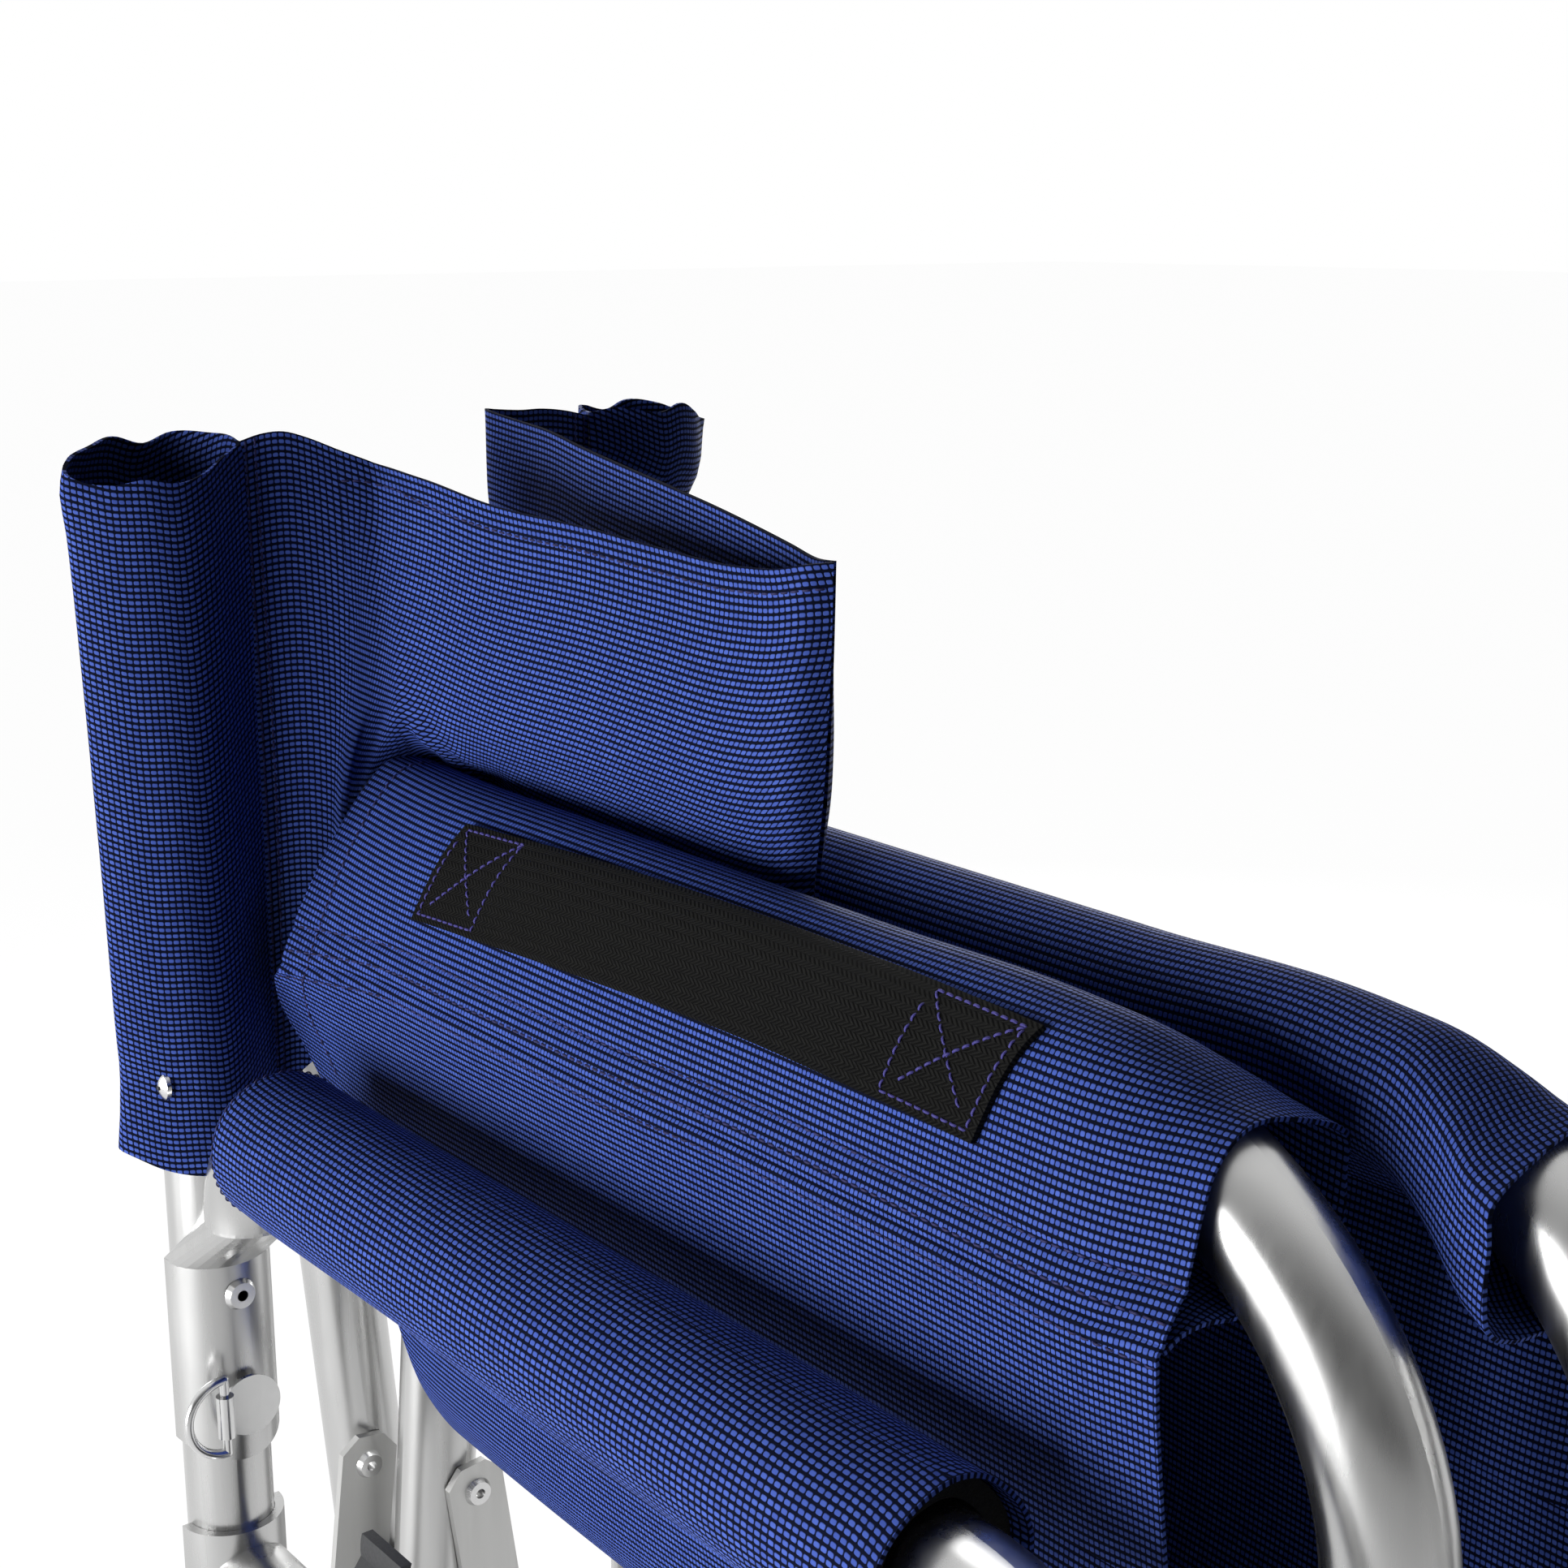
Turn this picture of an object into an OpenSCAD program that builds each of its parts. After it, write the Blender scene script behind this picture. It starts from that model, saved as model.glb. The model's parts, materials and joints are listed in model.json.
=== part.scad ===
// Folding aluminium armchair with a slung fabric seat and back, drawn folded.
// X is across the chair, -Y is its front, Z is up from the floor.

/* [Tubes] */
// Outside diameter of every frame tube
tube_d = 28; // [25:0.5:30]
// Wall of the frame tubes
tube_wall = 1.5; // [1.2:0.1:2]
// Bend radius of the hoops and of the arm's front corner, on the tube axis
bend_r = 86; // [70:1:100]

/* [Seat hoops] */
// Rail's distance from the middle plane, folded
folded_rail_x = 24.2; // [22:0.1:26]
// Lean of the hoops when folded, in degrees
folded_lean = 4.55; // [4.4:0.05:4.8]
// Straight length of a seat rail between its bends
rail_len = 292; // [270:1:320]
// How far the right hoop stands ahead of the left one
hoop_stagger = 41; // [36:0.5:46]
// Height of the seat rails, open
seat_h = 450; // [435:1:470]

/* [Side frames] */
// Side frame's distance from the middle plane, folded
folded_frame_x = 83; // [80:0.5:88]
// Side frame's distance from the middle plane, open
open_frame_x = 258; // [254:1:264]
// Height of the folded seat rails over the arms
rail_over_arm = 87.3; // [80:0.5:95]
// Height of the upper side rail under the arm
side_rail_drop = 165; // [160:1:175]
// Height of the back posts over the arms
post_over_arm = 186; // [170:1:195]
// From the back post to the start of the arm's front bend
arm_run = 345; // [330:1:360]
// Bend radius of the arm tube's rear corner
arm_rear_r = 32; // [28:1:36]
// How far the arm tube's saddle end reaches under the arm
saddle_drop = 119; // [110:1:125]

/* [Arm pads] */
// Outside diameter of an arm pad
pad_d = 45.6; // [42:0.2:46]
// Front end of a pad, ahead of the back post
pad_front = 347; // [335:1:355]
// Rear end of a pad, ahead of the back post
pad_rear = 46; // [44:1:60]
// Thickness of the pad's cover
pad_cover_t = 1.6; // [1.2:0.1:2]

/* [Links] */
// Width of the flat link bars
link_w = 22; // [18:0.5:22]
// Thickness of the link bars
link_t = 3; // [2.5:0.1:3.5]
// Height of a link's upper rivet above the hoops' crossing
link_rise = 44; // [40:0.5:50]
// How far that rivet sits outside the leg's axis
link_side = 7; // [6.6:0.1:8]
// Reach of the link bracket's pin inside the post's axis
link_reach = 50; // [46:0.5:54]

/* [Fabric] */
// Thickness of the woven fabric, two plies where it is sewn
cloth_t = 1.6; // [1.2:0.1:2]
// How far a seat sleeve reaches over the rail's front bend
sleeve_over_bend = 53; // [40:1:60]
// Height of the back sling
back_h = 218; // [205:1:225]
// Width of the webbing handles
handle_w = 38; // [30:1:40]
// Length of the webbing handles
handle_len = 236; // [220:1:250]

/* [Fasteners] */
// Diameter of the hollow rivets
rivet_d = 6; // [5:0.1:6.5]
// Diameter of the crossing bolts
bolt_d = 7; // [6:0.1:7]
// Diameter of the sling screws
screw_d = 4; // [3.5:0.1:4.5]
// Diameter of the carry ring's wire
ring_wire_d = 3; // [2.5:0.1:3.5]
// Inside height of the carry ring
ring_h = 22; // [20:0.5:25]

/* [Hidden] */
$fn = 48;

eps = 0.01;
fit = 0.1;            // running clearance of a pin or tube in its hole, on the radius
gap = 0.3;            // clear space between pieces that only lie close
tube_r = tube_d / 2;
bore_r = tube_r - tube_wall;

// The fold. A hoop's rail is rail_arm above the crossing, its hinge foot_arm below it
// and leg_offset to the side. Angles are the hoops' lean from upright.
open_rail_x = open_frame_x - tube_d - 0.5;
knuckle_web = 1.5;
leg_offset = tube_d + knuckle_web;
rail_arm = folded_rail_x / sin(folded_lean);
open_lean = asin(open_rail_x / rail_arm);
foot_arm = (open_frame_x - folded_frame_x + leg_offset * (cos(folded_lean) - cos(open_lean)))
    / (sin(open_lean) - sin(folded_lean));
stand_off = folded_frame_x - foot_arm * sin(folded_lean) - leg_offset * cos(folded_lean);
lower_rail_z = seat_h - (rail_arm + foot_arm) * cos(open_lean) + leg_offset * sin(open_lean);
cross_z = lower_rail_z + foot_arm * cos(folded_lean) - leg_offset * sin(folded_lean);
folded_rail_z = cross_z + rail_arm * cos(folded_lean);
arm_z = folded_rail_z - rail_over_arm;
side_rail_z = arm_z - side_rail_drop;

// The link. Its rivet on the hoop keeps the same distance from its pin at both ends of the fold.
function hoop_cross_z(lean) = lower_rail_z + foot_arm * cos(lean) - leg_offset * sin(lean);
function link_top_at(lean) = [-link_rise * sin(lean) - link_side * cos(lean),
    hoop_cross_z(lean) + link_rise * cos(lean) - link_side * sin(lean)];
link_top = link_top_at(folded_lean);
link_top_open = link_top_at(open_lean);
reach_folded = link_top[0] + folded_frame_x - link_reach;
reach_open = link_top_open[0] + open_frame_x - link_reach;
bracket_z = (link_top[1] * link_top[1] - link_top_open[1] * link_top_open[1]
    + reach_folded * reach_folded - reach_open * reach_open) / (2 * (link_top[1] - link_top_open[1]));

// Places along Y. The origin is the middle of the lower rails.
leg_front = 59 - rail_len - 2 * bend_r;    // left hoop's front leg, from the back post
leg_rear = 59;
front_post_off = -arm_run - bend_r;
lower_over = 26;                           // lower rail past the outermost legs
mid_off = (leg_front - hoop_stagger - lower_over + leg_rear + lower_over) / 2;
post_y = -mid_off;
front_post_y = post_y + front_post_off;
lower_len = leg_rear - leg_front + hoop_stagger + 2 * lower_over;
foot_h = 30;
foot_wall = 3;
foot_sole = 6;

function hoop_y(side) = post_y - (side > 0 ? hoop_stagger : 0);   // side -1 left, 1 right
function front_leg_y(side) = hoop_y(side) + leg_front;
function rear_leg_y(side) = hoop_y(side) + leg_rear;
function rail_rear_y(side) = rear_leg_y(side) - bend_r;
function rail_front_y(side) = rail_rear_y(side) - rail_len;

aluminium = [0.80, 0.80, 0.79];
steel = [0.70, 0.71, 0.72];
grey_plastic = [0.27, 0.28, 0.30];
blue_cloth = [0.10, 0.13, 0.42];
black_web = [0.03, 0.03, 0.03];
black_foam = [0.02, 0.02, 0.02];

// ---- helpers ----
module sided(side) { mirror([side > 0 ? 1 : 0, 0, 0]) children(); }   // drawn for the left side

module along_y(y0, y1, r) {
    translate([0, y0, 0]) rotate([-90, 0, 0]) cylinder(r = r, h = y1 - y0);
}

module along_x(x0, x1, r) {
    translate([x0, 0, 0]) rotate([0, 90, 0]) cylinder(r = r, h = x1 - x0);
}

// a quarter bend in the YZ plane, its centre at the origin, filling the corner at angle a
module quarter_bend(big_r, r, a) {
    rotate([a, 0, 0]) rotate([0, -90, 0])
        rotate_extrude(angle = 90) translate([big_r, 0]) circle(r);
}

// ribbon of thickness t about a line of 2D points
function turn(a, b) = let (d = b - a, n = norm(d)) [-d[1] / n, d[0] / n];
function normal_at(p, i) = let (
    a = turn(p[max(i - 1, 0)], p[max(i, 1)]),
    b = turn(p[min(i, len(p) - 2)], p[min(i + 1, len(p) - 1)]),
    s = a + b) s / (norm(s) * norm(s) / 2);
module ribbon(p, t) {
    out = [for (i = [0 : len(p) - 1]) p[i] + normal_at(p, i) * t / 2];
    back = [for (i = [len(p) - 1 : -1 : 0]) p[i] - normal_at(p, i) * t / 2];
    polygon(concat(out, back));
}

// ---- side frames, drawn for the left side with x = -folded_frame_x ----
module at_frame() { translate([-folded_frame_x, 0, 0]) children(); }

saddle_t = 3;
saddle_r = tube_r + fit + saddle_t;
rivet_drops = [62, 99];

module rivet_holes_x(x0, x1, places) {
    for (p = places) translate([0, p[0], p[1]]) along_x(x0, x1, rivet_d / 2 + fit);
}

module rivet_holes_y(y0, y1, zs) {
    for (z = zs) translate([0, 0, z]) along_y(y0, y1, rivet_d / 2 + fit);
}

post_top = arm_z + post_over_arm;
post_bottom = foot_sole;
lower_rivets = [[post_y, lower_rail_z], [front_post_y, lower_rail_z]];
rail_rivet_z = [side_rail_z];
bracket_rivet_dz = 14;
bracket_half_h = 20;
lug_half_h = 7.5;
screw_z = arm_z + 9;
screw_y = post_y - 8;

module back_post() {
    at_frame() difference() {
        translate([0, post_y, post_bottom]) cylinder(r = tube_r, h = post_top - post_bottom);
        translate([0, post_y, post_bottom - 1]) cylinder(r = bore_r, h = post_top - post_bottom + 2);
        translate([0, post_y, 0]) rivet_holes_y(-tube_r - 1, 0,
            [for (d = rivet_drops) arm_z - d]);
        translate([0, post_y, 0]) rivet_holes_y(-tube_r - 1, 0, rail_rivet_z);
        rivet_holes_x(-tube_r - 1, tube_r + 1, [lower_rivets[0]]);
        for (d = [-bracket_rivet_dz, bracket_rivet_dz])
            rivet_holes_x(0, tube_r + 1, [[post_y, bracket_z + d]]);
        translate([0, screw_y, screw_z]) along_x(-tube_r - 1, 0, screw_d / 2 + fit);
    }
}

module post_cap() {
    at_frame() translate([0, post_y, post_top]) {
        cylinder(r = tube_r, h = 2.5);
        translate([0, 0, -12]) cylinder(r = bore_r - fit, h = 12 + eps);
    }
}

// the arm: saddle end on the back post, run, front bend and front post in one tube
module arm_path(r) {
    run_rear = post_y - tube_r - fit - tube_r - arm_rear_r;
    run_front = post_y - arm_run;
    translate([0, 0, arm_z]) along_y(run_front, run_rear, r);
    translate([0, run_front, arm_z - bend_r]) quarter_bend(bend_r, r, 90);
    translate([0, run_rear, arm_z - arm_rear_r]) quarter_bend(arm_rear_r, r, 0);
    translate([0, front_post_y, foot_sole])
        cylinder(r = r, h = arm_z - bend_r - foot_sole);
}

crush_top = arm_z - arm_rear_r;
crush_len = 20;
module saddle_shell(z0, z1) {
    translate([0, post_y, z0]) difference() {
        cylinder(r = saddle_r, h = z1 - z0);
        translate([-saddle_r - 1, 0, -1]) cube([2 * saddle_r + 2, saddle_r + 1, z1 - z0 + 2]);
    }
}

module arm_tube() {
    at_frame() difference() {
        union() {
            difference() {
                arm_path(tube_r);
                arm_path(bore_r);
            }
            hull() {
                translate([0, post_y - 2 * tube_r - fit, crush_top - 1]) cylinder(r = tube_r, h = 1, $fn = 32);
                translate([0, post_y, crush_top - crush_len]) intersection() {
                    cylinder(r = saddle_r, h = 1, $fn = 32);
                    translate([-saddle_r, -saddle_r, 0]) cube([2 * saddle_r, saddle_r, 1]);
                }
            }
            saddle_shell(arm_z - saddle_drop, crush_top - crush_len + 1);
        }
        translate([0, post_y, arm_z - 2 * saddle_drop]) cylinder(r = tube_r + fit, h = 3 * saddle_drop);
        // the saddle's end is rounded, as seen from in front
        translate([0, post_y, arm_z - saddle_drop]) difference() {
            translate([-saddle_r - 1, -saddle_r - 1, -1]) cube([2 * saddle_r + 2, saddle_r + 1, 10]);
            translate([0, -saddle_r - 2, saddle_r * 1.6]) rotate([-90, 0, 0])
                cylinder(r = saddle_r * 1.6, h = saddle_r + 4);
        }
        translate([0, post_y, 0]) rivet_holes_y(-saddle_r - 3, 0, [for (d = rivet_drops) arm_z - d]);
        translate([0, front_post_y, 0]) rivet_holes_y(0, tube_r + 1, rail_rivet_z);
        rivet_holes_x(-tube_r - 1, tube_r + 1, [lower_rivets[1]]);
    }
}

// upper side rail, cut and flanged to sit on both posts
saddle_half_h = 20;
module side_rail() {
    at_frame() difference() {
        union() {
            difference() {
                translate([0, 0, side_rail_z]) along_y(front_post_y, post_y, tube_r);
                translate([0, 0, side_rail_z]) along_y(front_post_y - 1, post_y + 1, bore_r);
            }
            saddle_shell(side_rail_z - saddle_half_h, side_rail_z + saddle_half_h);
            translate([0, front_post_y + post_y, 0]) mirror([0, 1, 0])
                saddle_shell(side_rail_z - saddle_half_h, side_rail_z + saddle_half_h);
        }
        for (y = [front_post_y, post_y]) translate([0, y, side_rail_z - 60])
            cylinder(r = tube_r + fit, h = 120);
        for (y = [front_post_y - tube_r, post_y]) translate([-20, y, side_rail_z - 60])
            cube([40, tube_r, 120]);
        translate([0, post_y, 0]) rivet_holes_y(-saddle_r - 3, 0, rail_rivet_z);
        translate([0, front_post_y, 0]) rivet_holes_y(0, saddle_r + 3, rail_rivet_z);
    }
}

// lower rail: the hinge bar that the other side's hoop turns on
lower_x = -folded_frame_x + stand_off;
module lower_rail() {
    translate([lower_x, 0, lower_rail_z]) difference() {
        along_y(-lower_len / 2, lower_len / 2, tube_r);
        along_y(-lower_len / 2 - 1, lower_len / 2 + 1, bore_r);
        for (p = lower_rivets) translate([0, p[0], 0]) along_x(-tube_r - 1, 0, rivet_d / 2 + fit);
    }
}

plug_t = 4;
plug_in = 12;
module rail_plugs() {
    translate([lower_x, 0, lower_rail_z]) for (s = [-1, 1]) {
        y0 = s * lower_len / 2;
        along_y(min(y0, y0 + s * plug_t), max(y0, y0 + s * plug_t), tube_r);
        along_y(min(y0, y0 - s * plug_in), max(y0, y0 - s * plug_in), bore_r - fit);
    }
}

// moulded distance pieces between the posts and the lower rail
spacer_w = 8;
spacer_h = 18;
module rail_spacers() {
    for (p = lower_rivets) difference() {
        translate([-folded_frame_x, p[0] - spacer_w / 2, lower_rail_z - spacer_h / 2])
            cube([stand_off, spacer_w, spacer_h]);
        translate([-folded_frame_x, p[0], 0]) cylinder(r = tube_r + fit, h = 2 * arm_z);
        translate([lower_x, p[0] - spacer_w, lower_rail_z]) along_y(0, 2 * spacer_w, tube_r + fit);
        translate([-folded_frame_x, p[0], lower_rail_z]) along_x(0, stand_off, rivet_d / 2 + fit);
    }
}

module post_feet() {
    at_frame() for (y = [front_post_y, post_y]) translate([0, y, 0]) difference() {
        union() {
            translate([0, 0, 3]) cylinder(r = tube_r + fit + foot_wall, h = foot_h - 3);
            cylinder(r1 = tube_r + fit + foot_wall - 2, r2 = tube_r + fit + foot_wall, h = 3);
        }
        translate([0, 0, foot_sole]) cylinder(r = tube_r + fit, h = foot_h);
    }
}

// clip on the side rail, with the stop that the open seat rail bears on
cradle_w = 24;
cradle_wall = 3.5;
cradle_first = 85;     // middle of the rear cradle, ahead of the back post
cradle_pitch = 217;    // from it to the front one, both beside the straight rails
module rail_cradles() {
    cup_x = open_frame_x - open_rail_x;
    cup_z = seat_h - side_rail_z;
    cup_r = sling_top_r + gap;
    at_frame() for (y = [post_y - cradle_first, post_y - cradle_first - cradle_pitch])
        translate([0, y - cradle_w / 2, side_rail_z]) rotate([90, 0, 0]) mirror([0, 0, 1])
            linear_extrude(cradle_w) difference() {
                union() {
                    circle(tube_r + fit + cradle_wall);
                    difference() {
                        translate([cup_x, cup_z]) circle(cup_r + cradle_wall);
                        translate([cup_x - cup_r / 2, cup_z - 40]) square([60, 80]);
                        translate([cup_x - 40, cup_z + cup_r / 3]) square([60, 40]);
                    }
                    polygon([[-6, tube_r], [tube_r - 2, tube_r - 4], [cup_x - cup_r / 2, cup_z - cup_r],
                             [cup_x - cup_r - 2, cup_z]]);
                }
                circle(tube_r + fit);
                translate([cup_x, cup_z]) circle(cup_r);
            }
}

// hollow rivets: a tubular shank with a rolled head
rivet_head_r = rivet_d / 2 + 2.2;
rivet_head_t = 2;
module hollow_rivet(reach) {      // along +X, head outside at x = 0
    difference() {
        union() {
            rotate([0, -90, 0]) cylinder(r1 = rivet_head_r, r2 = rivet_head_r - 1, h = rivet_head_t);
            along_x(-eps, reach, rivet_d / 2);
        }
        along_x(-rivet_head_t - 1, reach + 1, rivet_d / 2 - 1.2);
    }
}

module frame_rivets() {
    at_frame() {
        for (d = rivet_drops) translate([0, post_y - saddle_r, arm_z - d])
            rotate([0, 0, 90]) hollow_rivet(saddle_t + fit + tube_wall + 2);
        translate([0, post_y - saddle_r, side_rail_z])
            rotate([0, 0, 90]) hollow_rivet(saddle_t + fit + tube_wall + 2);
        translate([0, front_post_y + saddle_r, side_rail_z])
            rotate([0, 0, -90]) hollow_rivet(saddle_t + fit + tube_wall + 2);
        for (p = lower_rivets) translate([-tube_r, p[0], p[1]])
            hollow_rivet(stand_off + tube_wall + 2);
        for (d = [-bracket_rivet_dz, bracket_rivet_dz])
            translate([tube_r + fit + bracket_t, post_y, bracket_z + d])
                rotate([0, 0, 180]) hollow_rivet(bracket_t + fit + tube_wall + 2);
    }
}

// ---- links ----
link_rear_gap = gap;
link_back_y_off = -tube_r - link_rear_gap;       // rear face of a bar, from its hoop's rear leg
bracket_t = 3;
link_foot = [-folded_frame_x + link_reach, bracket_z];
link_vec = link_top - link_foot;
link_len = norm(link_vec);
link_lean = atan2(link_vec[0], link_vec[1]);
link_pin_d = 6;
link_end = 11;                                   // bar past the rivet's middle

function link_y(side) = rear_leg_y(side) + link_back_y_off;      // rear face of the bar

// angle bracket on the post's inner side, with the link's pin
module link_bracket(side) {
    y1 = link_y(side) - link_t - gap;            // rear face of the lug
    y0 = y1 - bracket_t;
    wall_y0 = min(post_y - 9, y0);
    wall_y1 = max(post_y + 9, y1);
    difference() {
        union() {
            translate([-folded_frame_x + tube_r + fit, wall_y0, bracket_z - bracket_half_h])
                cube([bracket_t, wall_y1 - wall_y0, 2 * bracket_half_h]);
            translate([-folded_frame_x + tube_r + fit, y0, bracket_z - lug_half_h])
                cube([link_reach - tube_r, bracket_t, 2 * lug_half_h]);
            translate([link_foot[0], y0, bracket_z]) rotate([-90, 0, 0])
                cylinder(r = lug_half_h + 2, h = bracket_t);
            translate([link_foot[0], y0, bracket_z]) rotate([-90, 0, 0])
                cylinder(r = link_pin_d / 2, h = bracket_t + gap + link_t + 0.3);
            translate([link_foot[0], y0 - 2, bracket_z]) rotate([-90, 0, 0])
                cylinder(r1 = link_pin_d / 2 + 1.4, r2 = link_pin_d / 2 + 2.4, h = 2 + eps);
        }
        for (d = [-bracket_rivet_dz, bracket_rivet_dz])
            translate([-folded_frame_x, post_y, bracket_z + d]) along_x(0, 40, rivet_d / 2 + fit);
    }
}

module link_bar(side) {
    y1 = link_y(side);
    c = 6;                                       // corner chamfer
    translate([link_foot[0], y1, link_foot[1]]) rotate([0, link_lean, 0]) rotate([90, 0, 0])
        linear_extrude(link_t) difference() {
            polygon([[-link_w / 2, -link_end + c], [-link_w / 2 + c, -link_end],
                     [link_w / 2 - c, -link_end], [link_w / 2, -link_end + c],
                     [link_w / 2, link_len + link_end - c], [link_w / 2 - c, link_len + link_end],
                     [-link_w / 2 + c, link_len + link_end], [-link_w / 2, link_len + link_end - c]]);
            circle(link_pin_d / 2 + fit);
            translate([0, link_len]) circle(rivet_d / 2 + fit / 2);
        }
}

module link_rivet(side) {
    translate([link_top[0], link_y(side) - link_t, link_top[1]]) rotate([0, 0, 90]) hollow_rivet(link_t);
}

// ---- hoops, drawn for the left side: rail up and outboard, hinge end down and inboard ----
leg_stub = 20;
module hoop_place(side) {
    translate([0, 0, cross_z]) rotate([0, -folded_lean, 0]) children();
}

module hoop_path(side, r) {
    zb = rail_arm - bend_r;
    leg_end = -foot_arm - leg_stub;
    translate([0, 0, rail_arm]) along_y(rail_front_y(side), rail_rear_y(side), r);
    translate([0, rail_front_y(side), zb]) quarter_bend(bend_r, r, 90);
    translate([0, rail_rear_y(side), zb]) quarter_bend(bend_r, r, 0);
    for (y = [front_leg_y(side), rear_leg_y(side)])
        translate([0, y, leg_end]) cylinder(r = r, h = zb - leg_end);
}

module hoop(side) {
    hoop_place(side) difference() {
        hoop_path(side, tube_r);
        hoop_path(side, bore_r);
        for (y = [front_leg_y(side), rear_leg_y(side)]) {
            translate([0, y, -foot_arm - leg_stub - 1]) cylinder(r = bore_r, h = 20);
            along_y(y - tube_r - 1, y + tube_r + 1, bolt_d / 2 + fit);
        }
    }
}

module leg_plugs(side) {
    hoop_place(side) for (y = [front_leg_y(side), rear_leg_y(side)])
        translate([0, y, -foot_arm - leg_stub]) {
            translate([0, 0, -plug_t]) cylinder(r = tube_r, h = plug_t);
            translate([0, 0, -eps]) cylinder(r = bore_r - fit, h = plug_in);
        }
}

// moulded cross clamp: a sleeve fixed on the leg, and beside it the collar on the lower rail
collar_w = 20;
collar_wall = 2.4;
knuckle_h = 36;
module knuckles(side) {
    hoop_place(side) for (y = [front_leg_y(side), rear_leg_y(side)]) translate([0, y, -foot_arm])
        difference() {
            union() {
                translate([0, 0, -knuckle_h / 2]) cylinder(r = tube_r + fit + collar_wall, h = knuckle_h);
                translate([leg_offset, 0, 0]) along_y(-collar_w / 2, collar_w / 2, tube_r + fit + collar_wall);
                translate([6, -collar_w / 2, -tube_r - collar_wall]) 
                    cube([leg_offset - 6, collar_w, 2 * (tube_r + collar_wall)]);
            }
            translate([0, 0, -knuckle_h]) cylinder(r = tube_r + fit / 2, h = 2 * knuckle_h);
            translate([leg_offset, 0, 0]) along_y(-collar_w, collar_w, tube_r + fit);
        }
}

// the pivots where the hoops cross
bolt_head_h = 4;
bolt_head_r = 7;
nut_head_r = 5;
module cross_bolts() {
    for (p = [[front_leg_y(1), front_leg_y(-1)], [rear_leg_y(1), rear_leg_y(-1)]]) translate([0, 0, cross_z]) {
        y0 = p[0] - tube_r;
        y1 = p[1] + tube_r;
        along_y(y0 - eps, y1 + bolt_head_h + 2, bolt_d / 2);
        translate([0, y0 - bolt_head_h, 0]) rotate([-90, 0, 0])
            cylinder(r1 = nut_head_r - 2, r2 = nut_head_r, h = bolt_head_h);
    }
}

module cross_nuts() {
    for (y = [front_leg_y(-1), rear_leg_y(-1)]) translate([0, y + tube_r + fit, cross_z])
        rotate([-90, 0, 0]) difference() {
            union() {
                cylinder(r = bolt_head_r, h = bolt_head_h, $fn = 6);
                cylinder(r = bolt_head_r - 1, h = bolt_head_h + 2.5);
            }
            translate([0, 0, -1]) cylinder(r = bolt_d / 2 + fit, h = bolt_head_h + 2.95);
        }
}

module cross_spacers() {
    for (p = [[front_leg_y(1), front_leg_y(-1)], [rear_leg_y(1), rear_leg_y(-1)]]) translate([0, 0, cross_z])
        difference() {
            along_y(p[0] + tube_r + fit, p[1] - tube_r - fit, bolt_d / 2 + fit + 0.9);
            along_y(p[0] + tube_r - 1, p[1] - tube_r + 1, bolt_d / 2 + fit);
        }
}

// ---- soft parts ----
foam_recess = 4;
foam_short = 17;
module arm_foam() {
    at_frame() translate([0, 0, arm_z]) difference() {
        along_y(post_y - pad_front + foam_recess, post_y - pad_rear - foam_short, pad_d / 2 - pad_cover_t - fit);
        along_y(post_y - pad_front - 1, post_y, tube_r + fit);
    }
}

// sewn cover: a tube of fabric, open in front and closed by a rounded end behind
cover_round = 15;
module cover_profile(r, len) {
    polygon(concat([[0, -1], [r, -1]],
        [for (a = [0 : 15 : 90]) [r - cover_round + cover_round * cos(a), len - cover_round + cover_round * sin(a)]],
        [[0, len]]));
}
module arm_cover() {
    len = pad_front - pad_rear;
    at_frame() difference() {
        translate([0, post_y - pad_front, arm_z]) rotate([-90, 0, 0]) rotate_extrude() difference() {
            intersection() {
                cover_profile(pad_d / 2, len);
                square([pad_d, len]);
            }
            cover_profile(pad_d / 2 - pad_cover_t, len - pad_cover_t);
        }
        arm_path(tube_r + gap);
    }
}

sleeve_in = tube_r + gap;
sling_top_r = sleeve_in + cloth_t;
// The seat sling of one side in section: sleeve round the rail, wall, and base to the middle.
web_t = 2;
rail_at = [-folded_rail_x, folded_rail_z];
seam_at = rail_at + [-26.8, -40];
corner_at = seam_at + [7, -107];
middle_at = [-gap - cloth_t / 2, corner_at[1] - 67];
sleeve_face = [rail_at + [-13.5, 8.5], seam_at + [4, 18], seam_at];
function between(a, b, k) = a + (b - a) * k;
function shifted(p, d) = [for (i = [0 : len(p) - 1]) p[i] + normal_at(p, i) * d];

module seat_strip(side) {
    y0 = rail_front_y(side) - sleeve_over_bend;
    y1 = rail_rear_y(side) + 2;
    translate([0, y1, 0]) rotate([90, 0, 0]) linear_extrude(y1 - y0) children();
}

module seat_sleeve(side) {
    inner = [rail_at + [-12, -8.6], seam_at + [6, 9], seam_at + [1.5, 2]];
    difference() {
        union() {
            seat_strip(side) translate(rail_at) circle(sling_top_r);
            seat_strip(side) ribbon(concat([rail_at + [-10.4, 10.4]], sleeve_face), cloth_t);
            seat_strip(side) ribbon(inner, cloth_t);
        }
        hoop_place(side) hoop_path(side, sleeve_in);
        // the slack under the tube where the rail starts to bend is left off
        translate([-folded_rail_x - 3, rail_front_y(side) - sleeve_over_bend - 1, folded_rail_z - 60])
            cube([sling_top_r + 6, sleeve_over_bend + 1, 60]);
    }
}

// a hem or seam starts this far from the line it turns about
seam_off = cloth_t * 0.8 + gap;
function ahead(a, b, d) = a + (b - a) * d / norm(b - a);

module seat_wall(side) {
    seat_strip(side) ribbon([ahead(seam_at, corner_at, gap + cloth_t / 8), between(seam_at, corner_at, 0.5) + [-2, 0], corner_at], cloth_t);
}

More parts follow.
